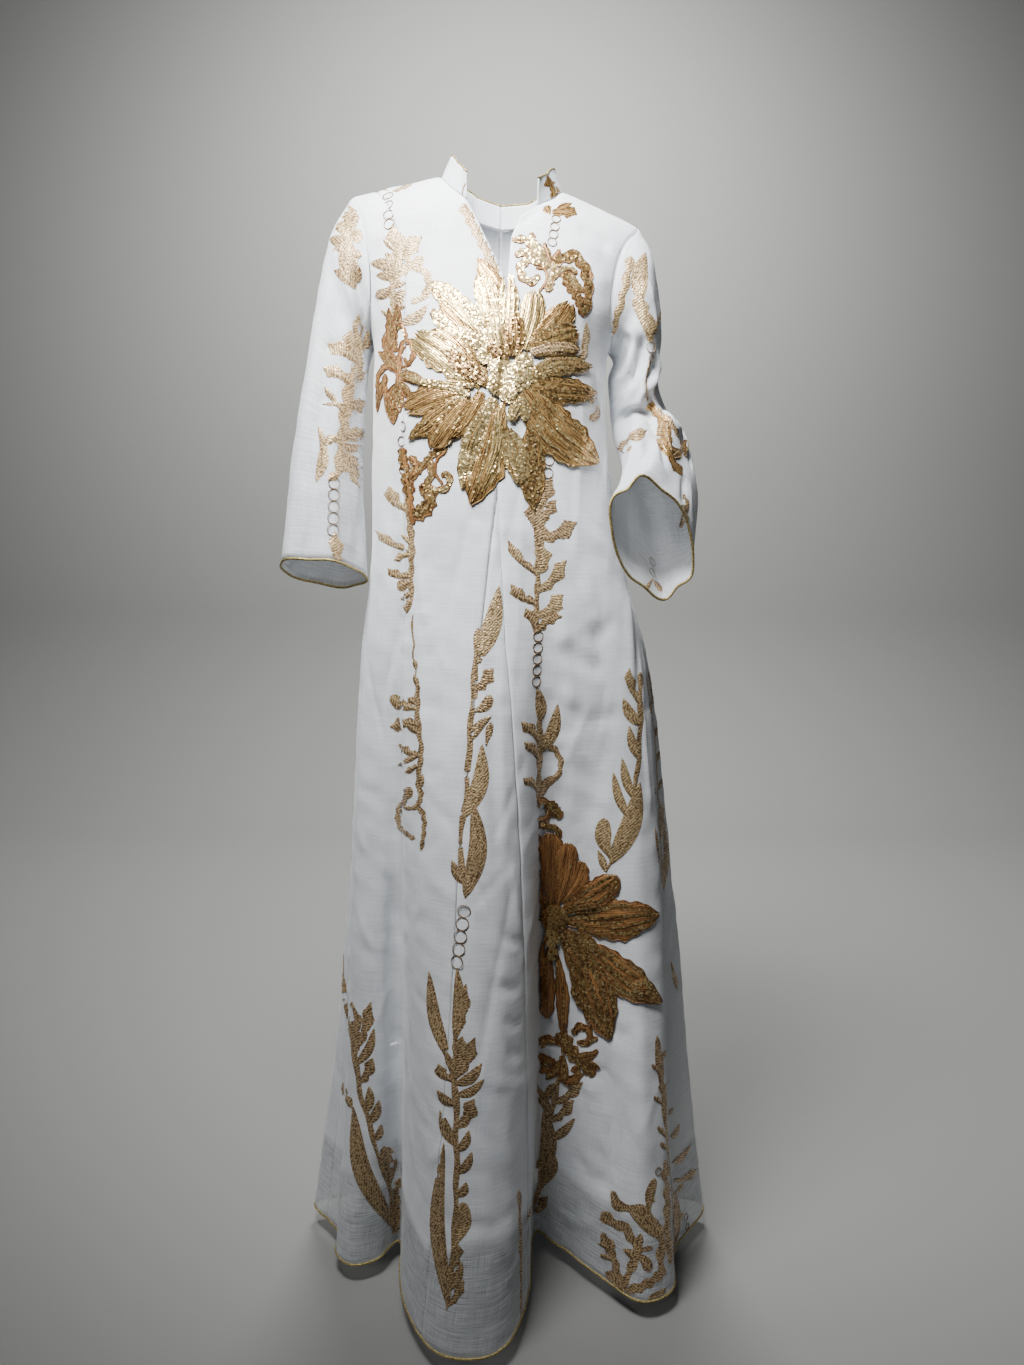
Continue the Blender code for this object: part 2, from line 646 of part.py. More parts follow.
def lining(collection, finish):
    """The opaque layer under the sheer skirt, as far as it shows, from the panels' points moved in."""
    seams = [(first, last, columns) for _, first, last, columns, _, _ in PANELS]
    seams.insert(2, ("pleat_right", "pleat_left", INSET_COLUMNS))
    columns = np.concatenate([seam_columns(*seam) for seam in seams])
    heights = np.array([z for z in SKIRT_HEIGHTS if LINING_HEM_Z <= z <= LINING_TOP_Z])
    turns = np.array([[np.interp(z, SEAM_HEIGHTS[:2], pair) for pair in columns] for z in heights])
    points, normals = skirt_point(turns, heights[:, None]), skirt_normals(turns, heights[:, None])
    outer = points - normals * (CLOTH + SEAM_GAP)
    wall("lining", outer, outer - normals * CLOTH, collection, finish, round_about=True)


def seam_columns(first, last, columns):
    """Turns at the hem and one seam height up, for each column of a panel but its last."""
    share = np.linspace(0, 1, columns + 1)[:-1, None]
    ends = [np.array(SEAMS[seam][:2])[None] for seam in (first, last)]
    return ends[0] * (1 - share) + ends[1] * share


def front_sheet(panels, first_row, last_row):
    """The outer points and normals of neighbouring front panels as one grid, joined at their seams."""
    points = [panels[0][0][:, :1]]
    normals = [panels[0][1][:, :1]]
    for (outer, facing), after in zip(panels, panels[1:] + [None]):
        points.append(outer[:, 1:-1])
        normals.append(facing[:, 1:-1])
        seam = outer[:, -1:] if after is None else (outer[:, -1:] + after[0][:, :1]) / 2
        points.append(seam)
        normals.append(facing[:, -1:])
    rows = slice(first_row, last_row)
    return np.concatenate(points, axis=1)[rows], unit(np.concatenate(normals, axis=1)[rows])


def petal_outline(spec):
    """x and height round a flower: out along each petal and in between them."""
    centre_x, centre_z, first, last, corners = spec["place"]
    turn = np.linspace(first, last, corners + 1)
    table = np.array(spec["petals"])
    apart = (turn[:, None] - table[None, :, 0] + 180) % 360 - 180
    near = np.cos(np.radians(np.clip(apart / table[:, 2], -1, 1) * 90))
    core = FLOWER_CORE * table[:, 1].mean()
    reach = np.maximum(table[:, 1] * near**0.5, core).max(axis=1)
    x = centre_x + np.sin(np.radians(turn)) * reach
    height = centre_z + np.cos(np.radians(turn)) * reach
    if last - first > 359:
        x, height = x[:-1], height[:-1]
    else:
        x, height = np.append(x, centre_x), np.append(height, centre_z)
    return np.stack([x, height], axis=1)


def scroll_outline(path):
    """x and height round a strip, from rows of x, height and half width."""
    table = np.array(path)
    along = unit(np.gradient(table[:, :2], axis=0))
    aside = np.stack([-along[:, 1], along[:, 0]], axis=1) * table[:, 2:3]
    return np.concatenate([table[:, :2] + aside, (table[:, :2] - aside)[::-1]])


def cutter(name, outline, collection):
    """A hidden prism that runs front to back through an outline."""
    bm = bmesh.new()
    near = [bm.verts.new((x, CUTTER_NEAR_Y, height)) for x, height in outline]
    far = [bm.verts.new((x, CUTTER_FAR_Y, height)) for x, height in outline]
    bm.faces.new(near)
    bm.faces.new(far[::-1])
    for i in range(len(near)):
        bm.faces.new((near[i], far[i], far[(i + 1) % len(near)], near[(i + 1) % len(near)]))
    bmesh.ops.recalc_face_normals(bm, faces=bm.faces)
    mesh = bpy.data.meshes.new(name)
    bm.to_mesh(mesh)
    bm.free()
    obj = bpy.data.objects.new(name, mesh)
    collection.objects.link(obj)
    obj.hide_render = True
    obj.hide_viewport = True
    return obj


def applique(name, sheet, outline, relief, collection, finish):
    """A piece of an outline's shape on the front, from the panels' points moved out."""
    points, normals = sheet
    middle = outline.mean(axis=0)
    across = np.linalg.norm(points[..., (0, 2)] - middle, axis=-1)
    far = np.linalg.norm(outline - middle, axis=1).max()
    raised = relief * np.clip(1 - across / far, 0, 1)
    inner = points + normals * APPLIQUE_LIFT
    outer = inner + normals * (APPLIQUE + raised[..., None])
    obj = wall(name, outer, inner, collection, finish)
    cut = obj.modifiers.new("outline", "BOOLEAN")
    cut.operation = "INTERSECT"
    cut.solver = "EXACT"
    cut.object = cutter(f"{name}_outline", outline, collection)
    return obj


def clear_scene():
    """Removes what the scene holds."""
    for obj in list(bpy.data.objects):
        bpy.data.objects.remove(obj)


def main():
    clear_scene()
    dress = bpy.data.collections.new("kaftan_maxi_dress")
    bpy.context.scene.collection.children.link(dress)
    cloth = material("white_cloth", WHITE, 0.8)
    under = material("white_lining", WHITE, 0.7)
    gold = material("gold_piping", GOLD, 0.45)
    sequins = material("gold_sequins", GOLD, 0.35, metallic=0.6)

    hem, grids = [], {}
    for name, first, last, columns, face, side in PANELS:
        outer, normals = body_panel(name, first, last, columns, face, side, dress, cloth)
        grids[name] = (outer, normals)
        hem.append((outer[0] - normals[0] * CLOTH / 2)[:-1])
    pleat_inset(dress, cloth)
    share = np.linspace(0, 1, INSET_COLUMNS + 1)[:-1]
    turns = SEAMS["pleat_right"][0] * (1 - share) + SEAMS["pleat_left"][0] * share
    inset = skirt_point(turns, HEM_Z) - skirt_normals(turns, HEM_Z) * CLOTH / 2
    loop = np.concatenate([hem[0], hem[1], inset, *hem[2:]])
    loop[:, 2] = HEM_Z - PIPING_RADIUS - SEAM_GAP
    piping("hem_piping", loop, PIPING_RADIUS, dress, gold)
    lining(dress, under)
    for side in (-1, 1):
        word = "left" if side > 0 else "right"
        cuff = sleeve(side, dress, cloth)
        piping(f"cuff_piping_{word}", cuff, PIPING_RADIUS, dress, gold)
        edge = collar(side, dress, cloth)
        piping(f"collar_piping_{word}", edge, COLLAR_EDGE_RADIUS, dress, gold, closed=False)
    front = [grids[name] for name in ("side_front_right", "front_right", "front_left")]
    chest = front_sheet(front, CHEST_ROWS[0], CHEST_ROWS[1])
    skirt = front_sheet(front[2:], SKIRT_FLOWER_ROWS[0], SKIRT_FLOWER_ROWS[1])
    applique("chest_flower", chest, petal_outline(FLOWERS["chest_flower"]), PETAL_RELIEF, dress, sequins)
    applique("skirt_flower", skirt, petal_outline(FLOWERS["skirt_flower"]), PETAL_RELIEF, dress, sequins)
    chest_sides = {
        -1: front_sheet(front[:2], CHEST_ROWS[0], CHEST_ROWS[1]),
        1: front_sheet(front[2:], CHEST_ROWS[0], CHEST_ROWS[1]),
    }
    for name, path in SCROLLS.items():
        side = 1 if path[0][0] > 0 else -1
        applique(name, chest_sides[side], scroll_outline(path), 0.0, dress, sequins)


main()
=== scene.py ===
"""A white kaftan maxi dress with gold sequin flowers, hollow and open as it is worn.

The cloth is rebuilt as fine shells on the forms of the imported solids. The flowers, sprigs and rings
are put on the cloth where the photograph's viewpoint sees them.
"""

import logging
import math
from dataclasses import dataclass, field, replace
from enum import Enum
from typing import Callable, Iterable, Sequence

import bpy
import numpy as np
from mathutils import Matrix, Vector
from mathutils.bvhtree import BVHTree


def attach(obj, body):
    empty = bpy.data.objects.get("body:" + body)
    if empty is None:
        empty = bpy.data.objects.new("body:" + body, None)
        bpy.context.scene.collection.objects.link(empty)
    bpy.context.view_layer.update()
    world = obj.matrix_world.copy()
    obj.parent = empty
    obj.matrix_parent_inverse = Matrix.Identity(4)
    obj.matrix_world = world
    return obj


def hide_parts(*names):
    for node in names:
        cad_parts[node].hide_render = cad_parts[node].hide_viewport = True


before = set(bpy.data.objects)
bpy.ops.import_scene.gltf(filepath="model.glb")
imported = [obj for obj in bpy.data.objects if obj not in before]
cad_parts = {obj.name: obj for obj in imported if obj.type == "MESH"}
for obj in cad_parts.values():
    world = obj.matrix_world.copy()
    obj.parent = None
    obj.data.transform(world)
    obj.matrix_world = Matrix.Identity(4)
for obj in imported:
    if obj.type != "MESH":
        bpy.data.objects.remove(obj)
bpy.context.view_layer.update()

log = logging.getLogger("kaftan")

Array = np.ndarray
Row = tuple[float, ...]
Table = tuple[Row, ...]
Socket = bpy.types.NodeSocket
Leaves = dict[tuple["Cut", "Thread"], Table]

CLOTH = 0.0015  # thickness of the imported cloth
SHELL = 0.0007  # thickness of the woven cloth that shows
SEAM_GAP = 0.0003  # between two panels
PIPING_RADIUS = 0.0017
HEM_Z = -1.440
ARMPIT_Z = -0.190
PLEAT_TOP_Z = -0.380
INSET_POINT_GAP = 0.006  # the pleat's inset ends this far below its top
LINING_TOP_Z = -1.120
LINING_HEM_Z = -1.320
OVAL_POWER = 2.2  # with 2 the body's sections would be ellipses
FOLD_FALL = 1.25  # above 1, so that a fold opens late on its way down
SHOULDER_TILT = math.tan(math.radians(6.5))
TILT_FULL_Z, TILT_NONE_Z = -0.05, -0.30
RIDGE_NECK_Z = 0.008  # height of the shoulder seam beside the neck
RIDGE_NECK_HALF = 0.077
RIDGE_MIDDLE_X = -0.002
RIDGE_SLOPE = 0.307
RIDGE_ROUNDING = 0.070
ELBOW_PLACE, ELBOW_SPREAD = 0.6, 0.2  # as shares of a sleeve's length
METRES_PER_PIXEL = 0.00122  # of the photograph, on the front of the dress
LAYER = 0.0006  # how far each layer of an applique stands over the one below
TORN = 0.012  # a face or a step longer than this would bridge a fold of the cloth
SKIRT_PIXEL_Y = 700  # scrolls that start below this row of the photograph lie on the left front
UP = (0.0, 0.0, 1.0)
CORD_START = (0.31, 0.17, 0.94)  # a cord's first side lies square to this
CREASE_POINTS = 9  # along each crease of the tables
WAVE_SCALE = 0.314  # the wave texture's scale for one band to the metre

# Columns: height, centre x, half width, front depth and back depth.
OVALS: Table = (
    (-1.440, 0.006, 0.272, 0.085, 0.215), (-1.200, 0.008, 0.247, 0.098, 0.200),
    (-0.920, 0.007, 0.224, 0.112, 0.180), (-0.790, 0.005, 0.213, 0.120, 0.168),
    (-0.590, 0.000, 0.191, 0.130, 0.138), (-0.460, -0.009, 0.164, 0.132, 0.114),
    (-0.357, -0.016, 0.155, 0.134, 0.104), (-0.255, -0.018, 0.150, 0.135, 0.106),
    (-0.190, -0.016, 0.152, 0.126, 0.108), (-0.150, -0.015, 0.168, 0.116, 0.108),
    (-0.100, -0.014, 0.183, 0.100, 0.104), (-0.060, -0.013, 0.190, 0.088, 0.096),
    (-0.020, -0.010, 0.197, 0.077, 0.086), (0.030, -0.002, 0.205, 0.070, 0.076),
)
# Columns: turn, x, y, and the height where the fold starts.
HEM_WAVES: Table = (
    (-172.0, -0.045, 0.212, -0.42), (-160.0, -0.118, 0.262, -0.50), (-147.0, -0.152, 0.196, -0.42),
    (-132.0, -0.226, 0.206, -0.46), (-119.0, -0.226, 0.140, -0.40), (-104.0, -0.292, 0.106, -0.62),
    (-92.0, -0.246, 0.042, -0.55), (-80.0, -0.240, -0.006, -0.55), (-66.0, -0.214, -0.034, -0.50),
    (-52.0, -0.178, -0.020, -0.46), (-43.0, -0.150, 0.012, -0.44), (-37.0, -0.141, -0.072, -0.44),
    (-28.0, -0.108, -0.163, -0.44), (-14.0, -0.046, -0.206, -0.44), (-2.0, 0.010, -0.172, -0.44),
    (6.0, 0.033, -0.088, -0.44), (13.0, 0.040, 0.022, -0.44), (26.0, 0.078, 0.006, -0.46),
    (42.0, 0.130, -0.054, -0.52), (58.0, 0.188, -0.106, -0.56), (69.0, 0.230, -0.078, -0.52),
    (78.0, 0.240, -0.012, -0.46), (96.0, 0.302, 0.104, -0.60), (110.0, 0.234, 0.140, -0.42),
    (122.0, 0.238, 0.206, -0.46), (136.0, 0.158, 0.194, -0.42), (150.0, 0.126, 0.264, -0.48),
    (164.0, 0.056, 0.210, -0.42), (176.0, 0.004, 0.268, -0.52),
)
SEAM_HEIGHTS: Row = (HEM_Z, -0.83, -0.57, PLEAT_TOP_Z, ARMPIT_Z)
SEAMS: dict[str, Row] = {
    "side_right": (-97.0, -95.0, -93.0, -92.0, -90.0),
    "princess_right": (-41.0, -41.0, -41.0, -41.0, -41.0),
    "pleat_right": (-27.0, -16.0, -7.5, 2.3, 6.0),
    "pleat_left": (6.0, 3.5, 0.8, 2.3, 6.0),
    "side_left": (73.0, 75.0, 78.0, 84.0, 90.0),
    "centre_back": (180.0, 180.0, 180.0, 180.0, 180.0),
    "side_right_from_back": (263.0, 265.0, 267.0, 268.0, 270.0),
}
# Columns: rise, x and height.
FRONT_RIGHT_EDGE: Table = (
    (0.00, 0.003, -0.190), (0.34, 0.002, -0.128), (0.60, -0.020, -0.082), (0.84, -0.044, -0.034),
    (0.93, -0.065, -0.016), (1.00, -0.079, 0.008),
)
FRONT_LEFT_EDGE: Table = (
    (0.00, 0.003, -0.190), (0.34, 0.006, -0.128), (0.60, 0.010, -0.078), (0.76, 0.022, -0.048),
    (0.84, 0.042, -0.030), (0.93, 0.064, -0.014), (1.00, 0.075, 0.008),
)
# Columns: rise, centre x, half width of the neck and height.
BACK_EDGE: Table = (
    (0.00, -0.016, 0.000, -0.190), (0.50, -0.010, 0.000, -0.105), (0.84, -0.004, 0.000, -0.022),
    (0.90, -0.003, 0.040, -0.016), (0.95, -0.002, 0.064, -0.006), (1.00, -0.002, 0.077, 0.008),
)
# Columns: rise, distance from the middle of the body, and height.
ARMHOLE: Table = (
    (0.00, 0.152, -0.190), (0.24, 0.149, -0.150), (0.54, 0.152, -0.100), (0.78, 0.163, -0.060),
    (1.00, 0.183, -0.0245),
)
YOKE_RISES: Row = (0.0, 0.12, 0.23, 0.34, 0.47, 0.60, 0.72, 0.84, 0.90, 0.95, 1.0)
COLLAR_FOOT_RISE = 0.84
COLLAR_HEIGHT = 0.029
COLLAR_LEAN = 0.60
COLLAR_ALONG_CLOTH = (0.35, 0.35, 1.0)
COLLAR_UPRIGHT = (0.0, 0.0, 0.6)
COLLAR_LEAN_STEPS = 3.0
COLLAR_EDGE_RADIUS = 0.0011
CUFF_PIPING_GAP = 0.0005
# Columns: outer point, inner point, and the way from the middle to the front.
RIGHT_SLEEVE = (
    ((-0.211, 0.000, -0.036), (-0.171, 0.000, -0.199), (0.0, -0.062, 0.000)),
    ((-0.226, 0.000, -0.076), (-0.174, 0.000, -0.209), (0.0, -0.060, 0.000)),
    ((-0.237, -0.004, -0.129), (-0.176, -0.004, -0.226), (0.0, -0.058, 0.000)),
    ((-0.248, -0.010, -0.192), (-0.178, -0.010, -0.256), (0.0, -0.057, 0.000)),
    ((-0.259, -0.016, -0.255), (-0.180, -0.016, -0.296), (0.0, -0.057, 0.002)),
    ((-0.269, -0.022, -0.319), (-0.182, -0.022, -0.345), (0.0, -0.058, 0.004)),
    ((-0.277, -0.028, -0.390), (-0.180, -0.028, -0.408), (0.0, -0.061, 0.008)),
    ((-0.286, -0.034, -0.472), (-0.177, -0.034, -0.482), (0.0, -0.066, 0.018)),
)
LEFT_SLEEVE = (
    ((0.187, 0.000, -0.072), (0.141, 0.000, -0.203), (0.000, -0.060, 0.000)),
    ((0.198, 0.000, -0.118), (0.144, 0.000, -0.214), (0.000, -0.059, 0.000)),
    ((0.204, 0.005, -0.175), (0.147, 0.002, -0.236), (0.000, -0.058, 0.000)),
    ((0.200, 0.012, -0.234), (0.150, 0.008, -0.262), (0.000, -0.056, 0.006)),
    ((0.222, 0.022, -0.288), (0.152, 0.008, -0.290), (0.000, -0.042, 0.018)),
    ((0.247, 0.015, -0.335), (0.153, -0.022, -0.326), (-0.004, -0.040, 0.044)),
    ((0.249, -0.030, -0.375), (0.149, -0.068, -0.370), (-0.012, -0.036, 0.056)),
    ((0.237, -0.080, -0.405), (0.142, -0.112, -0.418), (-0.022, -0.033, 0.062)),
    ((0.223, -0.115, -0.420), (0.134, -0.145, -0.455), (-0.030, -0.030, 0.066)),
)
# How many soft waves run round a sleeve, their depth at the cuff and at the elbow, and their place.
SLEEVE_WAVES: dict[str, Row] = {"right": (5, 0.006, 0.002, 40.0), "left": (6, 0.006, 0.004, 70.0)}


class Side(Enum):
    """A side of the wearer."""

    RIGHT = -1
    LEFT = 1


class Cut(Enum):
    """The shape of an embroidered piece."""

    LEAF = "pointed at both ends"
    TOOTHED = "a leaf with three or four lobes on each edge"
    LOBE = "round at the tip"
    STEM = "even in width"


class Thread(Enum):
    """The work that an applique is made in."""

    CHAMPAGNE = "rows of champagne chain stitch"
    TAN = "rows of tan chain stitch"
    BRONZE = "bronze satin"
    GOLD = "bright gold satin"
    BROWN = "reddish brown satin"


LEAF, TOOTHED, LOBE, STEM = Cut
CHAMPAGNE, TAN, BRONZE, GOLD, BROWN = Thread


def curve_through(knots: Sequence[float], values: Sequence, at: Array) -> Array:
    """Values on a smooth curve through some knots.

    Args:
        knots: places along the curve, rising.
        values: a value or a row of values for each knot.
        at: the places to read.

    Returns:
        The values at those places.
    """
    knots, values = np.asarray(knots, float), np.asarray(values, float)
    at = np.clip(np.asarray(at, float), knots[0], knots[-1])
    slopes = np.gradient(values, knots, axis=0)
    i = np.clip(np.searchsorted(knots, at, side="right") - 1, 0, len(knots) - 2)
    span = knots[i + 1] - knots[i]
    t = (at - knots[i]) / span
    extra = (1,) * (values.ndim - 1)
    span, t = span.reshape(span.shape + extra), t.reshape(t.shape + extra)
    start = values[i] * (1 + 2 * t) * (1 - t) ** 2 + slopes[i] * span * t * (1 - t) ** 2
    end = values[i + 1] * t**2 * (3 - 2 * t) - slopes[i + 1] * span * t**2 * (1 - t)
    return start + end


def unit(vectors: Array) -> Array:
    """The vectors with length 1."""
    return vectors / np.maximum(np.linalg.norm(vectors, axis=-1, keepdims=True), 1e-12)


def smooth_step(t: Array) -> Array:
    """0 below 0 and 1 above 1, with a soft start and end."""
    t = np.clip(t, 0.0, 1.0)
    return t * t * (3 - 2 * t)


def bent(points: Sequence[Sequence[float]], count: int) -> Array:
    """Points spread evenly on a smooth curve through a few given ones.

    Args:
        points: the given points, two or more.
        count: how many to return.

    Returns:
        The points, in rows.
    """
    given = np.asarray(points, float)
    steps = np.linalg.norm(np.diff(given, axis=0), axis=1)
    run = np.concatenate([[0.0], np.cumsum(np.maximum(steps, 1e-6))])
    return curve_through(run, given, np.linspace(0, run[-1], count))


def run_along(points: Array, axis: int = 0) -> Array:
    """The length from the first point to each one along an axis."""
    steps = np.linalg.norm(np.diff(points, axis=axis), axis=-1)
    return np.insert(steps.cumsum(axis=axis), 0, 0.0, axis=axis)


def slope_of(points: Array, axis: int, closed: bool) -> Array:
    """The way that points run along an axis, whose last may meet the first."""
    if closed:
        return np.roll(points, -1, axis=axis) - np.roll(points, 1, axis=axis)
    return np.gradient(points, axis=axis)


def wrapped(grid: Array) -> Array:
    """A grid of points with its first column once more at its end."""
    return np.concatenate([grid, grid[:, :1]], axis=1)


def quads(rows: int, columns: int) -> list[tuple[Array, Array]]:
    """The rows and columns of the four corners of each face of a grid."""
    r, c = (a.ravel() for a in np.meshgrid(np.arange(rows - 1), np.arange(columns - 1), indexing="ij"))
    return [(r, c), (r, c + 1), (r + 1, c + 1), (r + 1, c)]


def faces_away(points: Array, outward: Array) -> bool:
    """Whether the faces of a grid of points face against the vectors at its points."""
    corner = points[:-1, :-1]
    facing = np.cross(points[:-1, 1:] - corner, points[1:, :-1] - corner)
    return bool(np.sum(facing * outward[:-1, :-1]) < 0)


class DressForm:
    """The smooth forms that the dress hangs in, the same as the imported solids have."""

    @staticmethod
    def oval_at(height: Array) -> Array:
        """Centre x, half width, front and back depth of the plain oval at a height."""
        table = np.array(OVALS)
        return np.moveaxis(curve_through(table[:, 0], table[:, 1:], height), -1, 0)

    @classmethod
    def oval_point(cls, turn: Array, height: Array) -> Array:
        """x and y on the plain oval at a turn in degrees."""
        centre_x, half_width, front, back = cls.oval_at(height)
        sine, cosine = np.sin(np.radians(turn)), np.cos(np.radians(turn))
        x = centre_x + half_width * np.sign(sine) * np.abs(sine) ** (2 / OVAL_POWER)
        depth = np.where(cosine > 0, front, back)
        y = -depth * np.sign(cosine) * np.abs(cosine) ** (2 / OVAL_POWER)
        return np.stack([x, y], axis=-1)

    @staticmethod
    def hem_wave(turn: Array) -> Array:
        """x, y of the hem and the height where its fold starts, at a turn in degrees."""
        table = np.array(HEM_WAVES)
        turns = np.concatenate([table[:, 0] - 360, table[:, 0], table[:, 0] + 360])
        return curve_through(turns, np.concatenate([table[:, 1:]] * 3), turn)

    @staticmethod
    def tilted(points: Array) -> Array:
        """The points with the shoulders tilted to the wearer's right."""
        share = smooth_step((points[..., 2] - TILT_NONE_Z) / (TILT_FULL_Z - TILT_NONE_Z))
        moved = points.copy()
        moved[..., 2] -= SHOULDER_TILT * points[..., 0] * share
        return moved

    @classmethod
    def skirt_point(cls, turn: Array, height: Array) -> Array:
        """A point on the outside of the body below the armpits."""
        turn, height = np.broadcast_arrays(np.asarray(turn, float), np.asarray(height, float))
        plain = cls.oval_point(turn, height)
        hem = cls.hem_wave(turn)
        fold = hem[..., :2] - cls.oval_point(turn, np.full(turn.shape, HEM_Z))
        fallen = np.clip((hem[..., 2] - height) / (hem[..., 2] - HEM_Z), 0, 1) ** FOLD_FALL
        return cls.tilted(np.concatenate([plain + fold * fallen[..., None], height[..., None]], axis=-1))

    @staticmethod
    def normals_of(surface: Callable, u: Array, v: Array, step_u: float, step_v: float) -> Array:
        """Unit normals of surface(u, v), from its slopes both ways."""
        along_u = surface(u + step_u, v) - surface(u - step_u, v)
        along_v = surface(u, v + step_v) - surface(u, v - step_v)
        return unit(np.cross(along_u, along_v))

    @staticmethod
    def ridge_height(x: Array) -> Array:
        """Height of the shoulder seam above x."""
        return RIDGE_NECK_Z - RIDGE_SLOPE * np.maximum(np.abs(x - RIDGE_MIDDLE_X) - RIDGE_NECK_HALF, 0)

    @classmethod
    def torso_depth(cls, x: Array, height: Array, face: int) -> Array:
        """y of the front (face -1) or back (face 1) of the body above the hips."""
        centre_x, half_width, front, back = cls.oval_at(height)
        across = np.clip(np.abs(x - centre_x) / half_width, 0, 1)
        turning = np.clip((cls.ridge_height(x) - height) / RIDGE_ROUNDING, 0, 1)
        rounded = np.sqrt(turning * (2 - turning))
        depth = front if face < 0 else back
        return face * depth * rounded * (1 - across**OVAL_POWER) ** (1 / OVAL_POWER)

    @staticmethod
    def yoke_edge(face: int, side: int, rise: Array) -> Array:
        """x and height of the inner edge of a quarter of the yoke."""
        if face > 0:
            rises, centre, half_width, heights = np.array(BACK_EDGE).T
            table = np.stack([rises, centre + side * half_width, heights], axis=1)
        else:
            table = np.array(FRONT_LEFT_EDGE if side > 0 else FRONT_RIGHT_EDGE)
        return np.stack([np.interp(rise, table[:, 0], table[:, k]) for k in (1, 2)], axis=-1)

    @classmethod
    def armhole_edge(cls, side: int, rise: Array) -> Array:
        """x and height of the armhole on one side."""
        table = np.array(ARMHOLE)
        out_and_up = curve_through(table[:, 0], table[:, 1:], rise)
        x = cls.oval_at(out_and_up[..., 1])[0] + side * out_and_up[..., 0]
        return np.stack([x, out_and_up[..., 1]], axis=-1)

    @classmethod
    def yoke_point(cls, face: int, side: int, across: Array, rise: Array) -> Array:
        """A point on the yoke: across is 0 at its inner edge and 1 at the armhole."""
        across, rise = np.broadcast_arrays(np.asarray(across, float), np.asarray(rise, float))
        inner, outer = cls.yoke_edge(face, side, rise), cls.armhole_edge(side, rise)
        xz = inner + (outer - inner) * across[..., None]
        ridge = cls.ridge_height(xz[..., 0])
        height = np.where(rise >= 1, ridge, np.minimum(xz[..., 1], ridge))
        y = cls.torso_depth(xz[..., 0], height, face)
        return cls.tilted(np.stack([xz[..., 0], y, height], axis=-1))

    @classmethod
    def yoke_normals(cls, face: int, side: int, across: Array, rise: Array) -> Array:
        """Unit normals of the yoke, read just inside its edges."""
        across, rise = np.clip(across, 0.005, 0.985), np.clip(rise, 0.004, 0.985)
        found = cls.normals_of(lambda u, v: cls.yoke_point(face, side, u, v), across, rise, 0.004, 0.003)
        return found * np.sign(np.sum(found * (0.0, face, 0.5), axis=-1, keepdims=True))

    @classmethod
    def skirt_normals(cls, turn: Array, height: Array) -> Array:
        """Unit normals of the body below the armpits, outwards."""
        return cls.normals_of(cls.skirt_point, turn, height, 0.4, 0.003)

    @staticmethod
    def seam_turn(seam: str, height: Array) -> Array:
        """The turn of a lengthwise seam at a height."""
        return np.interp(height, SEAM_HEIGHTS, SEAMS[seam])

    @classmethod
    def across_of(cls, face: int, side: int, turn: Array) -> Array:
        """How far across the yoke a turn lies at the armpit, from its centre seam to its armhole."""
        centre = cls.seam_turn("centre_back" if face > 0 else "pleat_left", ARMPIT_Z)
        places = (centre, turn)
        inner, x = (cls.oval_point(p, np.full(np.shape(p), ARMPIT_Z))[..., 0] for p in places)
        return np.clip((x - inner) / (cls.armhole_edge(side, 0.0)[0] - inner), 0, 1)

    @classmethod
    def armhole_ring(cls, side: int, rises: Array) -> tuple[Array, Array]:
        """Points and normals round an armhole: front of the armpit, shoulder and back again."""
        parts, normals = [], []
        for face, order in ((-1, slice(None, -1)), (1, slice(None, 0, -1))):
            parts.append(cls.yoke_point(face, side, 1.0, rises)[order])
            found = cls.yoke_normals(face, side, 1.0, rises)
            found[-1], found[0] = UP, (side, 0.0, 0.0)
            normals.append(found[order])
        ring, normals = np.concatenate(parts), np.concatenate(normals)
        ring[:, 0] += side * SEAM_GAP
        return ring, unit(normals)

    @classmethod
    def sleeve_grid(cls, side: int, rises: Array, rows: int) -> Array:
        """Outer points of a sleeve.

        Args:
            side: -1 for the wearer's right and 1 for the left.
            rises: the places up the armhole that its columns start from.
            rows: how many rows run from the armhole to the cuff.

        Returns:
            The points, rows by columns.
        """
        ring, _ = cls.armhole_ring(side, rises)
        sections = np.array(LEFT_SLEEVE if side > 0 else RIGHT_SLEEVE)
        outer, inner, to_front = sections[:, None, 0], sections[:, None, 1], sections[:, None, 2]
        steps = np.linalg.norm(np.roll(ring, -1, axis=0) - ring, axis=1)
        run = np.concatenate([[0], np.cumsum(steps)[:-1]])
        top = int(np.argmax(ring[:, 2]))
        rest = 180 + 180 * (run - run[top]) / (steps.sum() - run[top])
        turn = np.where(run <= run[top], 180 * run / run[top], rest)
        sine, cosine = np.sin(np.radians(turn))[None, :, None], np.cos(np.radians(turn))[None, :, None]
        along = np.linspace(0, 1, len(sections) + 1)[1:, None, None]
        count, at_cuff, at_elbow, place = SLEEVE_WAVES["left" if side > 0 else "right"]
        wave = np.cos(np.radians(count * turn + place))[None, :, None]
        depth = at_cuff * along**2 + at_elbow * np.exp(-(((along - ELBOW_PLACE) / ELBOW_SPREAD) ** 2))
        half_outer, middle = (outer - inner) / 2, (outer + inner) / 2
        radial = unit(-half_outer * cosine + to_front * sine)
        rings = middle - half_outer * cosine + to_front * sine + radial * wave * depth * sine**2
        knots = np.concatenate([ring[None], rings])
        return curve_through(np.arange(len(knots)), knots, np.linspace(0, len(knots) - 1, rows + 1))


def grid_normals(grid: Array, towards: Array, round_about: bool = False) -> Array:
    """Unit normals of a grid of points.

    Args:
        grid: the points, rows by columns.
        towards: vectors on the side that the normals should be on.
        round_about: whether the last column meets the first.

    Returns:
        The normals, rows by columns.
    """
    found = unit(np.cross(np.gradient(grid, axis=0), slope_of(grid, 1, round_about)))
    return found * np.sign(np.sum(found * towards))


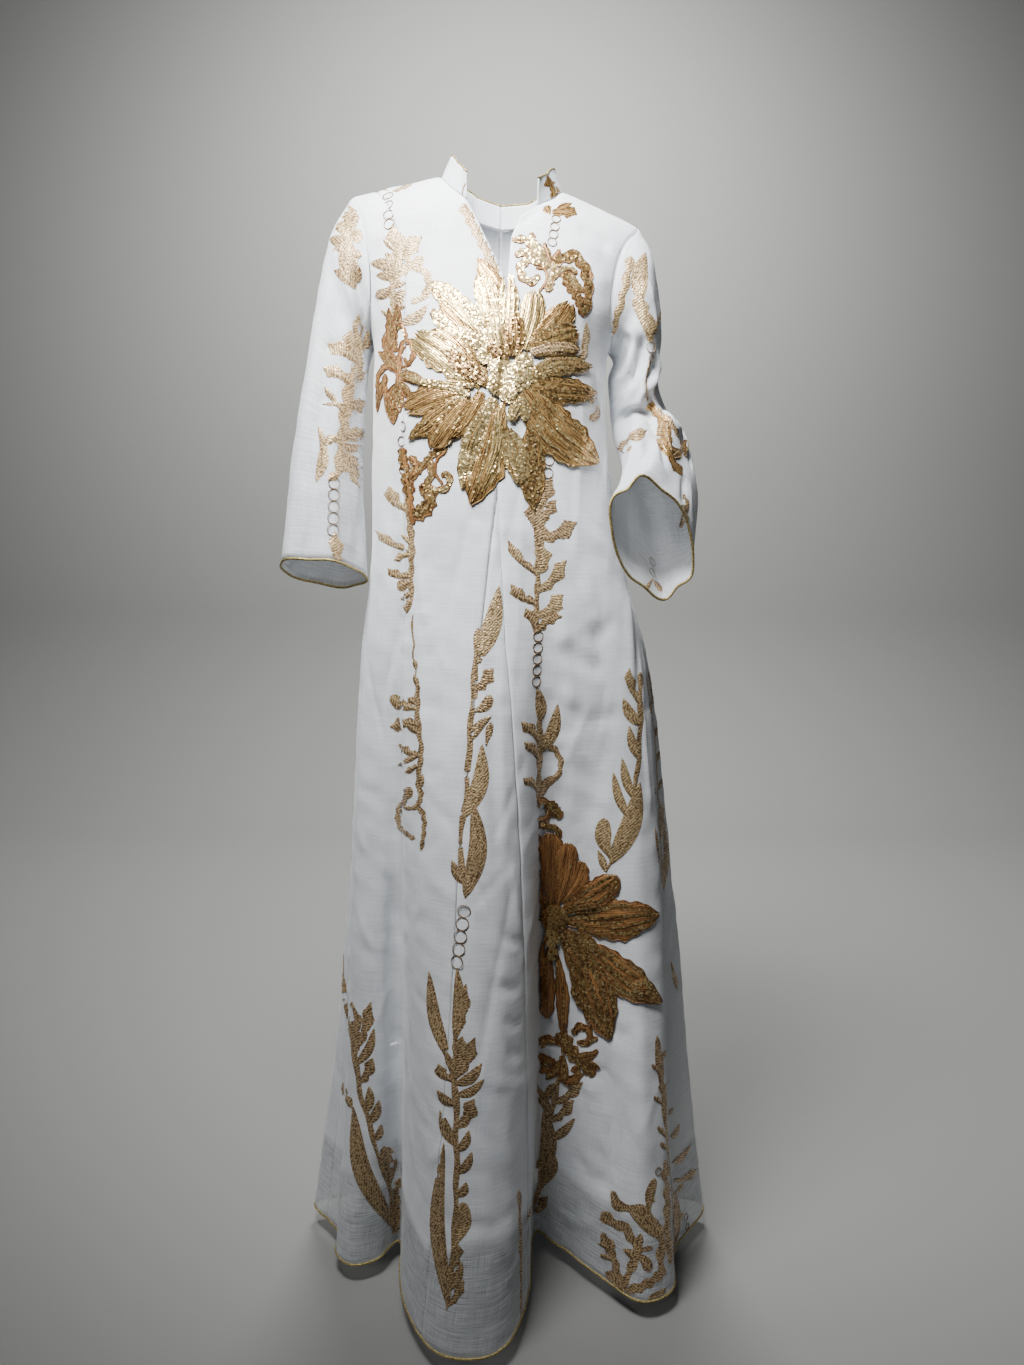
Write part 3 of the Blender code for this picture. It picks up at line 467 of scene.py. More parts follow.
def pulled_in(grid: Array) -> Array:
    """A grid of points with all four edges drawn back by half a seam gap."""
    for turned in (False, True):
        grid = grid.swapaxes(0, 1).copy() if turned else grid.copy()
        grid[:, 0] += unit(grid[:, 1] - grid[:, 0]) * SEAM_GAP / 2
        grid[:, -1] += unit(grid[:, -2] - grid[:, -1]) * SEAM_GAP / 2
        grid = grid.swapaxes(0, 1) if turned else grid
    return grid


def linked(name: str, mesh: bpy.types.Mesh, finish: bpy.types.Material) -> bpy.types.Object:
    """The mesh as an object of the scene, shaded smooth, with its material."""
    obj = bpy.data.objects.new(name, mesh)
    bpy.context.scene.collection.objects.link(obj)
    mesh.materials.clear()
    mesh.materials.append(finish)
    mesh.shade_smooth()
    return obj


def mesh_of(name: str, points: Array, faces: Array, uv: Array | None = None) -> bpy.types.Mesh:
    """A mesh from its points and faces.

    Args:
        name: the mesh's name.
        points: one row for each point.
        faces: one row of point numbers for each face.
        uv: a row of u and v for each corner of each face, in the faces' order.

    Returns:
        The new mesh.
    """
    mesh = bpy.data.meshes.new(name)
    mesh.from_pydata(points.reshape(-1, 3).tolist(), [], faces.tolist())
    if uv is not None:
        layer = mesh.uv_layers.new(name="cloth")
        layer.data.foreach_set("uv", uv.astype(np.float32).ravel())
    mesh.validate()
    return mesh


def shell_mesh(name: str, outer: Array, inner: Array, round_about: bool = False) -> bpy.types.Mesh:
    """A closed thin shell between two grids, with a UV map in metres across and along.

    Args:
        name: the mesh's name.
        outer: the outer points, rows by columns.
        inner: the inner points, rows by columns.
        round_about: whether the last column joins the first.

    Returns:
        The mesh, with its faces pointing out.
    """
    rows, columns = outer.shape[:2]
    wide = wrapped(outer) if round_about else outer
    u = run_along(wide, axis=1)
    uv_of = np.stack([u, np.broadcast_to(run_along(wide).mean(axis=1)[:, None], u.shape)], axis=-1)
    faces, uvs = [], []

    def add(corners: Sequence[tuple[Array, Array, bool]]) -> None:
        """Adds faces by the row, the column and the layer of each of their corners."""
        numbers = [r * columns + c % columns + rows * columns * is_inner for r, c, is_inner in corners]
        faces.append(np.stack(numbers, axis=1))
        uvs.append(np.stack([uv_of[r, c] for r, c, _ in corners], axis=1))

    corners = quads(rows, wide.shape[1])
    add([(r, c, False) for r, c in corners])
    add([(r, c, True) for r, c in corners[::-1]])
    line = np.arange(wide.shape[1] - 1)
    for row, order in ((0, 1), (rows - 1, -1)):
        at = np.full_like(line, row)
        add([(at, line, True), (at, line + 1, True), (at, line + 1, False), (at, line, False)][::order])
    line = np.arange(0 if round_about else rows - 1)
    for column, order in ((0, 1), (columns - 1, -1)):
        at = np.full_like(line, column)
        add([(line, at, False), (line + 1, at, False), (line + 1, at, True), (line, at, True)][::order])
    order = -1 if faces_away(outer, outer - inner) else 1
    points = np.concatenate([outer.reshape(-1, 3), inner.reshape(-1, 3)])
    return mesh_of(name, points, np.concatenate(faces)[:, ::order], np.concatenate(uvs)[:, ::order])


def cord_mesh(name: str, path: Array, radius: float, sides: int, closed: bool) -> bpy.types.Mesh:
    """A round cord along a path, with a UV map in metres round it and along it.

    Args:
        name: the mesh's name.
        path: the points that it follows.
        radius: its radius in metres.
        sides: how many faces go round it.
        closed: whether its end joins its start.

    Returns:
        The mesh.
    """
    along = unit(slope_of(path, 0, closed))
    aside = np.zeros_like(along)
    aside[0] = unit(np.cross(along[0], CORD_START))
    for i in range(1, len(path)):
        aside[i] = unit(aside[i - 1] - along[i] * np.dot(aside[i - 1], along[i]))
    third = np.cross(along, aside)
    turn = np.radians(np.arange(sides) * 360 / sides)[None, :, None]
    grid = path[:, None] + radius * (np.cos(turn) * aside[:, None] + np.sin(turn) * third[:, None])
    corners = quads(len(path) + closed, sides + 1)
    faces = np.stack([(a % len(path)) * sides + b % sides for a, b in corners], axis=1)
    run = run_along(np.concatenate([path, path[:1]]))
    side_width = 2 * math.pi * radius / sides
    uv = np.stack([np.stack([b * side_width, run[a]], axis=-1) for a, b in corners], axis=1)
    return mesh_of(name, grid, faces[:, ::-1], uv[:, ::-1])


class Nodes:
    """Adds nodes to a node tree, each with its settings and inputs in one step."""

    def __init__(self, tree: bpy.types.NodeTree) -> None:
        """Takes the tree that it adds to."""
        self.tree = tree

    def add(self, kind: str, inputs: dict | None = None, output: str | int = 0, **settings: object) -> Socket:
        """Adds a node.

        Args:
            kind: its type, as Blender names it.
            inputs: for each input, by its name or number, a value or a socket to link.
            output: the name or number of the output to return.
            settings: the node's own settings.

        Returns:
            The output.
        """
        node = self.tree.nodes.new(kind)
        for label, value in settings.items():
            setattr(node, label, value)
        for label, value in (inputs or {}).items():
            if isinstance(value, Socket):
                self.tree.links.new(value, node.inputs[label])
            else:
                node.inputs[label].default_value = value
        return node.outputs[output]


class Shading(Nodes):
    """A material that is built step by step round one shader."""

    def __init__(self, name: str, **settings: float) -> None:
        """Starts a material with some of its shader's values, with _ for the spaces of their names."""
        self.made = bpy.data.materials.new(name)
        self.made.use_nodes = True
        super().__init__(self.made.node_tree)
        self.shader = self.tree.nodes["Principled BSDF"].inputs
        for label, value in settings.items():
            self.shader[label.replace("_", " ")].default_value = value

    def noise(self, place: Socket, scale: Row, detail: float = 2.0) -> Socket:
        """A noise on the UV map with so many grains to the metre both ways."""
        spread = self.add("ShaderNodeMapping", {"Vector": place, "Scale": (*scale, 1.0)})
        inputs = {"Vector": spread, "Scale": 1.0, "Detail": detail}
        return self.add("ShaderNodeTexNoise", inputs, noise_dimensions="2D")

    def math(self, kind: str, *values: Socket | float) -> Socket:
        """A sum of some kind of two or three values."""
        return self.add("ShaderNodeMath", dict(enumerate(values)), operation=kind)

    def span(self, value: Socket, low: float, high: float, to: Row = (0.0, 1.0)) -> Socket:
        """A value stretched from one range to another."""
        ends = {"From Min": low, "From Max": high, "To Min": to[0], "To Max": to[1]}
        return self.add("ShaderNodeMapRange", {"Value": value, **ends})

    def colours(self, share: Socket, first: Row, second: Row) -> None:
        """Mixes two colours into the base colour."""
        inputs = {"Factor": share, "A": first, "B": second}
        mixed = self.add("ShaderNodeMix", inputs, "Result", data_type="RGBA")
        self.tree.links.new(mixed, self.shader["Base Color"])

    def bump(self, height: Socket, strength: float, distance: float) -> None:
        """Raises the surface by a height."""
        raised = self.add("ShaderNodeBump", {"Height": height, "Strength": strength, "Distance": distance})
        self.tree.links.new(raised, self.shader["Normal"])


@dataclass(frozen=True)
class Weave:
    """A finish of woven cloth: pale linen with slubs, whose threads run along its UV map."""

    name: str
    colour: Row
    thin_colour: Row
    roughness: float = 0.72
    sheen: float = 0.25
    alpha: float = 1.0  # of each face of the shell, where it is single
    thread: float = 0.00055  # spacing of the threads in metres
    thread_lengths: Row = (45.0, 30.0)  # how many uneven stretches a metre of weft and of warp has
    slub: Row = (14.0, 520.0)  # thick threads, so many to the metre along and across them
    cloud: Row = (9.0, 5.0)  # cloudy patches to the metre
    rough_span: Row = (1.05, 1.85)  # heights of the weave that take the thin and the full colour
    hole_span: Row = (0.9, 2.0)  # heights of the weave between which it closes

    def material(self) -> bpy.types.Material:
        """The finish as a node material, which reads the UV map and the attribute "single"."""
        gloss = {"Roughness": self.roughness, "Sheen_Roughness": 0.5, "Specular_IOR_Level": 0.3}
        shade = Shading(self.name, Sheen_Weight=self.sheen, **gloss)
        place = shade.add("ShaderNodeUVMap", uv_map="cloth")
        weft = shade.noise(place, (self.thread_lengths[0], 1 / self.thread), 1.0)
        warp = shade.noise(place, (1 / self.thread, self.thread_lengths[1]), 1.0)
        slub = shade.math("MULTIPLY", shade.noise(place, self.slub), 0.9)
        rough = shade.math("ADD", shade.math("ADD", weft, warp), slub)
        cloud = shade.math("SUBTRACT", shade.noise(place, self.cloud, 3.0), 0.5)
        share = shade.math("ADD", shade.span(rough, *self.rough_span), cloud)
        shade.colours(share, self.thin_colour, self.colour)
        shade.bump(rough, 0.35, 0.0004)
        if self.alpha < 1.0:
            single = shade.add("ShaderNodeAttribute", output="Fac", attribute_name="single")
            clear = 1 - self.alpha
            holes = shade.span(rough, *self.hole_span, (min(1.0, clear * 1.5), clear * 0.5))
            kept = shade.math("SUBTRACT", 1.0, shade.math("MULTIPLY", holes, single))
            shade.tree.links.new(kept, shade.shader["Alpha"])
        return shade.made


@dataclass(frozen=True)
class Stitchwork:
    """A finish of thread or satin in rows across its UV map, with a metal gleam."""

    name: str
    light: Row
    dark: Row
    row: float = 0.0030  # spacing of the rows in metres
    metallic: float = 0.35
    roughness: float = 0.42
    relief: float = 0.0004
    slant: float = 0.5
    streaks: Row = (90.0, 70.0)  # patches to the metre across and along
    patchy: float = 0.5  # how much the patches count against the rows
    speckled: float = 2.0  # how much single stitches count against the rows
    stitches: Row = (330.0, 330.0)  # single stitches to the metre both ways
    contrast: float = 0.42  # half of the range of heights from the dark to the light colour

    def material(self) -> bpy.types.Material:
        """The finish as a node material that reads the UV map."""
        shade = Shading(self.name, Metallic=self.metallic, Roughness=self.roughness)
        place = shade.add("ShaderNodeUVMap", uv_map="cloth")
        turned = shade.add("ShaderNodeMapping", {"Vector": place, "Rotation": (0.0, 0.0, self.slant)})
        rows = {"Vector": turned, "Scale": WAVE_SCALE / self.row, "Distortion": 3.0}
        rows.update({"Detail": 2.0, "Detail Scale": 1.6})
        wave = shade.add("ShaderNodeTexWave", rows, "Fac", bands_direction="Y")
        stitch = shade.math("MULTIPLY", shade.noise(place, self.stitches), self.speckled)
        height = shade.math("MULTIPLY_ADD", wave, 0.5, stitch)
        total = shade.math("MULTIPLY_ADD", shade.noise(place, self.streaks), self.patchy, height)
        middle = 0.25 + 0.5 * (self.patchy + self.speckled)
        share = shade.span(total, middle - self.contrast, middle + self.contrast)
        shade.colours(share, self.dark, self.light)
        shade.bump(height, 0.8, self.relief)
        return shade.made


@dataclass(frozen=True)
class SequinFilm:
    """A finish of metallised film for sequins, whose colour follows the attribute "tone"."""

    name: str = "sequin_film"
    roughness: float = 0.32
    # Columns: tone and its colour.
    tones: tuple = (
        (0.0, (0.12, 0.066, 0.028, 1.0)),
        (0.25, (0.32, 0.19, 0.082, 1.0)),
        (0.55, (0.66, 0.44, 0.17, 1.0)),
        (1.0, (0.92, 0.74, 0.37, 1.0)),
    )

    def material(self) -> bpy.types.Material:
        """The finish as a node material."""
        shade = Shading(self.name, Metallic=0.85, Roughness=self.roughness)
        tone = shade.add("ShaderNodeAttribute", output="Fac", attribute_name="tone")
        colour = shade.add("ShaderNodeValToRGB", {"Fac": tone}, "Color")
        stops = colour.node.color_ramp.elements
        stops[0].color, stops[1].color = self.tones[0][1], self.tones[-1][1]
        for place, value in self.tones[1:-1]:
            stops.new(place).color = value
        shade.tree.links.new(colour, shade.shader["Base Color"])
        return shade.made


SATIN = {"slant": 1.5, "patchy": 1.5, "speckled": 1.0}
# The finish of each kind of thread: its light and its dark colour, and how its stitches lie.
THREAD_FINISHES: dict[Thread, Stitchwork] = {
    CHAMPAGNE: Stitchwork(
        "champagne_stitch", (0.72, 0.54, 0.30, 1.0), (0.21, 0.13, 0.055, 1.0), relief=0.0006
    ),
    TAN: Stitchwork("tan_stitch", (0.60, 0.43, 0.235, 1.0), (0.13, 0.075, 0.034, 1.0), relief=0.0006),
    BRONZE: Stitchwork(
        "bronze_satin", (0.78, 0.48, 0.18, 1.0), (0.10, 0.043, 0.014, 1.0),
        row=0.0024, streaks=(300.0, 22.0), metallic=0.7, roughness=0.3, **SATIN,
    ),
    GOLD: Stitchwork(
        "gold_satin", (0.98, 0.76, 0.33, 1.0), (0.20, 0.10, 0.03, 1.0),
        row=0.0026, streaks=(300.0, 22.0), metallic=0.85, roughness=0.36, **SATIN,
    ),
    BROWN: Stitchwork(
        "brown_satin", (0.47, 0.235, 0.085, 1.0), (0.11, 0.044, 0.016, 1.0),
        row=0.0022, streaks=(330.0, 24.0), roughness=0.4, **SATIN,
    ),
}
WHITE = (0.84, 0.86, 0.885, 1.0)
CLOTH_FINISH = Weave("white_cloth", WHITE, (0.66, 0.69, 0.73, 1.0), alpha=0.5)
LINING_FINISH = Weave("white_lining", WHITE, (0.78, 0.80, 0.84, 1.0), thread=0.0004)
PIPING_FINISH = Stitchwork(
    "gold_piping", (0.62, 0.50, 0.22, 1.0), (0.20, 0.14, 0.035, 1.0), row=0.0011, metallic=0.5
)


@dataclass
class Finishes:
    """The materials of the dress, made once."""

    cloth: bpy.types.Material = field(default_factory=CLOTH_FINISH.material)
    lining: bpy.types.Material = field(default_factory=LINING_FINISH.material)
    piping: bpy.types.Material = field(default_factory=PIPING_FINISH.material)
    film: bpy.types.Material = field(default_factory=SequinFilm().material)
    threads: dict[Thread, bpy.types.Material] = field(
        default_factory=lambda: {thread: work.material() for thread, work in THREAD_FINISHES.items()}
    )


@dataclass
class Sight:
    """The photograph's viewpoint, which finds where on the cloth a pixel of it lies."""

    place: Row = (0.011, -1.367, -0.470)
    pitch: float = math.radians(6.475)
    focal: float = 1025.0
    middle: Row = (512.0, 682.5)
    open_groups: tuple[str, ...] = ("collar", "sleeve_left")  # surfaces whose inside is seen too
    trees: dict[str, BVHTree] = field(default_factory=dict)

    def add(self, group: str, *grids: Array) -> None:
        """Makes a group of surfaces that can be looked up, from grids of points."""
        points, faces, start = [], [], 0
        for grid in grids:
            rows, columns = grid.shape[:2]
            faces.append(np.stack([r * columns + c + start for r, c in quads(rows, columns)], axis=1))
            points.append(grid.reshape(-1, 3))
            start += rows * columns
        points, faces = np.concatenate(points), np.concatenate(faces)
        self.trees[group] = BVHTree.FromPolygons(points.tolist(), faces.tolist())

    def ways(self, pixels: Array) -> Array:
        """The directions in which the pixels lie."""
        sine, cosine = math.sin(self.pitch), math.cos(self.pitch)
        right = (pixels[..., 0] - self.middle[0]) / self.focal
        down = (pixels[..., 1] - self.middle[1]) / self.focal
        ahead = np.array([0.0, cosine, -sine])
        up = np.array([0.0, sine, cosine])
        return unit(ahead + right[..., None] * np.array([1.0, 0.0, 0.0]) - down[..., None] * up)

    def cast(self, pixels: Array, group: str) -> tuple[Array, Array, Array]:
        """Where pixels lie on a group of surfaces.

        Args:
            pixels: x and y in the photograph, any number of them in any layout.
            group: the surfaces' name.

        Returns:
            The points, the unit normals towards the viewer, and whether each was found.
        """
        ways = self.ways(pixels).reshape(-1, 3)
        points, normals = np.zeros_like(ways), np.zeros_like(ways)
        found = np.zeros(len(ways), bool)
        tree, start = self.trees[group], Vector(self.place)
        for i, way in enumerate(ways):
            at, normal, _, _ = tree.ray_cast(start, Vector(way))
            if at is None:
                continue
            is_inside = normal.dot(Vector(way)) > 0  # seen through an opening
            if not is_inside or group.startswith(self.open_groups):
                points[i], found[i] = at, True
                normals[i] = -normal if is_inside else normal
        layout = pixels.shape[:-1]
        return points.reshape(*layout, 3), normals.reshape(*layout, 3), found.reshape(layout)

    def crease(self, row: Row, group: str) -> Array:
        """Points on the cloth along a crease, from a row of a table of creases."""
        points, _, found = self.cast(bent([row[0:2], row[2:4], row[4:6]], CREASE_POINTS), group)
        return points[found]


# Creases of the front of the body, along lines of the photograph's pixels.
# Columns: start x and y, middle x and y, end x and y, width and height in mm, below 0 for a trough.
BODY_CREASES: Table = (
    (516, 228, 530, 215, 544, 207, 5, -2.0), (430, 205, 420, 300, 402, 380, 14, -2.0),
    (474, 204, 458, 240, 447, 275, 9, -1.0), (560, 235, 590, 258, 604, 300, 15, 1.6),
    (575, 224, 606, 243, 626, 262, 11, -1.6), (590, 300, 596, 360, 600, 430, 14, -2.0),
    (382, 230, 372, 270, 376, 330, 10, -1.6), (468, 508, 482, 522, 500, 545, 7, -1.3),
    (520, 540, 545, 575, 560, 610, 12, -1.2), (440, 520, 448, 640, 440, 770, 22, -2.6),
    (395, 430, 391, 520, 396, 600, 12, -2.0), (404, 560, 404, 700, 409, 830, 6, 1.5),
    (421, 560, 421, 700, 427, 830, 7, 1.2), (396, 614, 404, 622, 412, 620, 4, -1.3),
    (400, 630, 406, 634, 413, 631, 4, -1.0), (415, 622, 424, 626, 434, 620, 5, -1.1),
    (416, 602, 424, 606, 432, 603, 4, -0.8), (414, 650, 424, 655, 438, 652, 6, -1.0),
    (396, 652, 404, 657, 412, 655, 4, -0.8), (415, 700, 426, 708, 440, 706, 6, -0.9),
    (417, 765, 428, 772, 446, 768, 7, -0.9), (380, 640, 372, 800, 364, 960, 24, -3.0),
    (395, 860, 391, 980, 398, 1100, 15, -3.2), (362, 1000, 372, 1080, 372, 1190, 14, 2.0),
    (404, 955, 407, 1030, 411, 1095, 6, -2.6), (396, 1130, 399, 1180, 404, 1235, 6, -2.0),
    (432, 880, 438, 960, 433, 1060, 14, -1.6), (500, 640, 503, 760, 507, 880, 7, 1.3),
    (489, 700, 494, 800, 500, 900, 9, -1.5), (512, 860, 516, 900, 521, 950, 5, 1.6),
    (503, 935, 512, 942, 522, 940, 5, -1.3), (498, 985, 510, 990, 523, 986, 6, -1.5),
    (502, 1018, 512, 1025, 525, 1021, 5, -1.3), (507, 1050, 515, 1056, 525, 1050, 5, -1.1),
    (480, 880, 492, 960, 486, 1070, 16, -1.8), (420, 1090, 460, 1120, 500, 1150, 8, -1.1),
    (425, 1170, 440, 1152, 470, 1145, 7, 0.9), (420, 1200, 455, 1226, 505, 1222, 9, -1.1),
    (500, 1100, 510, 1180, 508, 1290, 12, 1.8), (560, 640, 585, 665, 612, 672, 13, -1.3),
    (556, 700, 590, 722, 625, 712, 10, -1.1), (575, 752, 590, 790, 597, 835, 13, -1.3),
    (552, 610, 566, 650, 570, 720, 10, 1.0), (600, 590, 607, 700, 598, 810, 24, -2.6),
    (622, 540, 630, 620, 634, 700, 10, 1.6), (598, 1045, 612, 1120, 604, 1205, 20, -2.8),
    (640, 1010, 642, 1100, 652, 1185, 14, 2.2), (572, 1145, 590, 1178, 612, 1188, 10, -1.1),
    (560, 1052, 585, 1075, 618, 1072, 10, -1.2), (600, 1010, 625, 1035, 640, 1030, 9, -1.1),
    (545, 1200, 575, 1222, 612, 1226, 7, 0.9), (676, 960, 682, 1060, 690, 1180, 10, -1.8),
    (636, 600, 642, 700, 652, 830, 5, 1.4),
)
# Columns: the same, on the wearer's right sleeve.
SLEEVE_RIGHT_CREASES: Table = (
    (353, 262, 365, 325, 375, 402, 8, -5.5), (344, 262, 356, 320, 366, 392, 6, 2.6),
    (368, 250, 375, 300, 379, 350, 5, 2.0), (330, 262, 338, 300, 346, 330, 8, -1.6),
    (330, 296, 326, 380, 318, 460, 12, -2.4), (345, 318, 352, 372, 352, 430, 8, 1.6),
    (362, 420, 362, 490, 360, 560, 10, -2.0), (306, 470, 304, 520, 299, 568, 8, 1.8),
    (322, 490, 322, 530, 318, 572, 9, -1.8), (344, 480, 350, 525, 350, 568, 9, 1.3),
    (324, 340, 331, 347, 343, 344, 6, -1.4), (318, 392, 328, 400, 340, 396, 6, -1.2),
    (336, 205, 343, 222, 355, 240, 6, -1.3),
)
# Columns: the same, on the wearer's left sleeve.
SLEEVE_LEFT_CREASES: Table = (
    (658, 346, 650, 384, 612, 424, 6, 6.0), (646, 330, 636, 368, 612, 400, 10, -7.5),
    (630, 330, 622, 352, 616, 380, 9, -5.0), (640, 402, 628, 414, 612, 432, 6, -3.5),
    (652, 366, 648, 392, 655, 410, 4, -4.5), (663, 350, 659, 380, 666, 405, 6, 3.0),
    (652, 404, 674, 425, 690, 458, 5, 4.0), (646, 415, 662, 440, 667, 472, 6, -4.0),
    (630, 425, 640, 445, 640, 470, 7, 2.0), (672, 415, 686, 440, 692, 470, 5, -2.4),
    (612, 292, 606, 342, 603, 388, 12, -2.6), (640, 262, 634, 300, 640, 330, 8, -1.8),
    (648, 280, 655, 312, 656, 340, 6, 1.6), (622, 440, 640, 432, 655, 440, 8, 1.6),
    (684, 475, 684, 515, 688, 560, 6, -2.4), (690, 480, 691, 520, 692, 575, 4, 1.4),
    (615, 455, 630, 460, 650, 470, 6, -1.2),
)
# Long soft folds of the sides and the back.
# Columns: start turn and height, end turn and height, width and height in mm, below 0 for a trough.
HIDDEN_CREASES: Table = (
    (168, -0.20, 160, -0.62, 17, -3.0), (193, -0.20, 201, -0.58, 17, -2.8),
    (180, -0.26, 179, -0.90, 13, 1.8), (150, -0.24, 141, -0.70, 15, 2.2), (212, -0.24, 219, -0.66, 15, 2.0),
    (132, -0.20, 118, -0.50, 13, -2.4), (229, -0.20, 243, -0.48, 13, -2.2),
    (108, -0.30, 101, -0.70, 12, 1.8), (254, -0.30, 260, -0.74, 12, 1.7),
    (172, -0.70, 170, -1.15, 12, -2.2), (157, -0.84, 154, -1.28, 14, 1.8),
    (192, -0.76, 190, -1.20, 12, -2.0), (206, -0.86, 209, -1.30, 14, 1.8),
    (143, -0.76, 145, -1.22, 13, -2.2), (221, -0.80, 217, -1.26, 13, -2.2),
    (128, -0.90, 130, -1.34, 11, -1.8), (236, -0.94, 233, -1.36, 11, -1.7), (97, -0.86, 99, -1.30, 14, 2.0),
    (263, -0.84, 261, -1.30, 14, 2.0), (112, -0.60, 113, -1.05, 11, -2.0),
    (249, -0.58, 246, -1.00, 11, -2.0), (84, -0.40, 85, -0.85, 10, -1.6),
    (-84, -0.42, -83, -0.88, 12, -1.8), (-70, -0.36, -66, -0.80, 12, -1.6),
    (-74, -0.90, -73, -1.32, 11, 1.5), (160, -0.62, 176, -0.66, 8, -0.9), (184, -0.60, 202, -0.64, 8, -0.9),
)
# Soft folds on the far sides of the sleeves.
# Columns: start column and row, end column and row, as shares of the sleeve, width and height in mm.
SLEEVE_HIDDEN: dict[Side, Table] = {
    Side.RIGHT: (
        (0.62, 0.10, 0.66, 0.55, 10, -3.0), (0.75, 0.15, 0.80, 0.70, 9, 2.4),
        (0.88, 0.10, 0.90, 0.60, 8, -2.6), (0.70, 0.50, 0.71, 0.95, 9, -2.2),
        (0.57, 0.40, 0.58, 0.92, 9, 2.0),
    ),
    Side.LEFT: (
        (0.00, 0.16, 0.00, 0.74, 20, 11.0), (0.62, 0.08, 0.70, 0.40, 9, -3.0),
        (0.78, 0.10, 0.74, 0.42, 9, 2.6), (0.90, 0.12, 0.86, 0.45, 8, -2.6),
        (0.60, 0.55, 0.80, 0.60, 8, -2.4), (0.66, 0.50, 0.62, 0.90, 8, 2.4),
    ),
}
# Columns: turn, and how far the lining's edge hangs below or above its mean.
LINING_EDGE = (
    (-180.0, 0.004), (-120.0, -0.010), (-60.0, 0.012), (-30.0, -0.008), (-8.0, 0.012), (12.0, 0.010),
    (40.0, -0.014), (70.0, -0.016), (110.0, 0.006), (150.0, -0.006), (180.0, 0.004),
)


def lining_edge(turns: Array) -> Array:
    """The height of the lining's lower edge at each turn round the skirt."""
    return LINING_HEM_Z + np.interp(turns, *np.array(LINING_EDGE).T)


@dataclass
class Folds:
    """The creases of a piece of cloth: soft troughs and ridges along lines."""

    lines: list[tuple[Array, float, float]] = field(default_factory=list)
    reach: float = 3.0  # how many widths from its line a crease is felt
    taper: float = 0.28  # the share of its line in which a crease runs out at each end
    ripple: float = 0.00015  # height of each of the ripples of loose cloth between the creases
    wander: Row = (1.3, 37.0)  # how far a ripple strays, and how many radians to the metre of height
    # Columns: radians of each ripple to the metre along x, y and z, and where it starts.
    ripples: Table = (
        (61.0, 23.0, 17.0, 0.3), (-47.0, 71.0, 29.0, 1.9), (97.0, -38.0, 41.0, 4.1),
        (31.0, 113.0, -53.0, 2.2), (-129.0, 57.0, 67.0, 5.0), (171.0, 91.0, -33.0, 0.9),
        (83.0, 64.0, 139.0, 3.1), (-58.0, 88.0, -163.0, 1.3),
    )

    def add(self, line: Array, width_mm: float, height_mm: float) -> None:
        """Adds a crease along a line of points."""
        if len(line) > 2:
            self.lines.append((line, width_mm / 1000, height_mm / 1000))

    def height_at(self, points: Array) -> Array:
        """How far the cloth stands off its plain form at each point, in metres."""
        flat = points.reshape(-1, 3)
        total = np.zeros(len(flat))
        for line, width, height in self.lines:
            low, high = line.min(axis=0) - self.reach * width, line.max(axis=0) + self.reach * width
            near = np.flatnonzero(((flat > low) & (flat < high)).all(axis=1))
            if not len(near):
                continue
            spot = flat[near]
            best, along = np.full(len(near), np.inf), np.zeros(len(near))
            for k in range(len(line) - 1):
                step = line[k + 1] - line[k]
                t = np.clip((spot - line[k]) @ step / max(step @ step, 1e-12), 0, 1)
                away = np.linalg.norm(spot - line[k] - t[:, None] * step, axis=1)
                closer = away < best
                best = np.where(closer, away, best)
                along = np.where(closer, (k + t) / (len(line) - 1), along)
            ending = smooth_step(np.minimum(along, 1 - along) / self.taper)
            total[near] += height * np.exp(-((best / width) ** 2)) * ending
        x, y, z = flat.T
        stray, pace = self.wander
        for a, b, c, start in self.ripples:
            straying = stray * np.sin(pace * z + start)
            total += self.ripple * np.sin(a * x + b * y + c * z + start + straying)
        return total.reshape(points.shape[:-1])


@dataclass
class Sheeted:
    """A made shell of cloth: its object, its outer points and the size that it was cut to."""

    obj: bpy.types.Object
    grid: Array
    flat: tuple[float, float]
    area: float


def cut_size(grid: Array, round_about: bool = False) -> tuple[tuple[float, float], float]:
    """The width, length and area that a shell's cloth was cut to.

    Args:
        grid: its outer points, rows by columns.
        round_about: whether the last column joins the first.

    Returns:
        The width and length of the cut, and its area in square metres.
    """
    wide = wrapped(grid) if round_about else grid
    width = np.linalg.norm(np.diff(wide, axis=1), axis=2).sum(axis=1).max()
    length = np.linalg.norm(np.diff(wide, axis=0), axis=2).sum(axis=0).max()
    across, along = np.diff(wide, axis=1)[:-1], np.diff(wide, axis=0)[:, :-1]
    area = np.linalg.norm(np.cross(across, along), axis=2).sum()
    return (float(width), float(length)), float(np.clip(area, 0.3 * width * length, width * length))


def dressed(
    name: str, mesh: bpy.types.Mesh, finish: bpy.types.Material, slot: str, outer: Array,
    single: Array | None = None, round_about: bool = False,
) -> Sheeted:
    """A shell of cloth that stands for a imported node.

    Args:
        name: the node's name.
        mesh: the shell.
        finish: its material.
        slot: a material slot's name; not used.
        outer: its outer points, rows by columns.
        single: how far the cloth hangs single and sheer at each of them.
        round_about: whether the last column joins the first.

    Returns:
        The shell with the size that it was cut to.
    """
    obj = linked(name + "_cloth", mesh, finish)
    if single is not None:
        mark = mesh.attributes.new("single", "FLOAT", "POINT")
        mark.data.foreach_set("value", np.concatenate([single.ravel()] * 2).astype(np.float32))
    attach(obj, "root")
    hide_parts(name)
    flat, area = cut_size(outer, round_about)
    log.info("%s: cut %.2f by %.2f m, %.2f square metres", name, *flat, area)
    return Sheeted(obj, outer, flat, area)


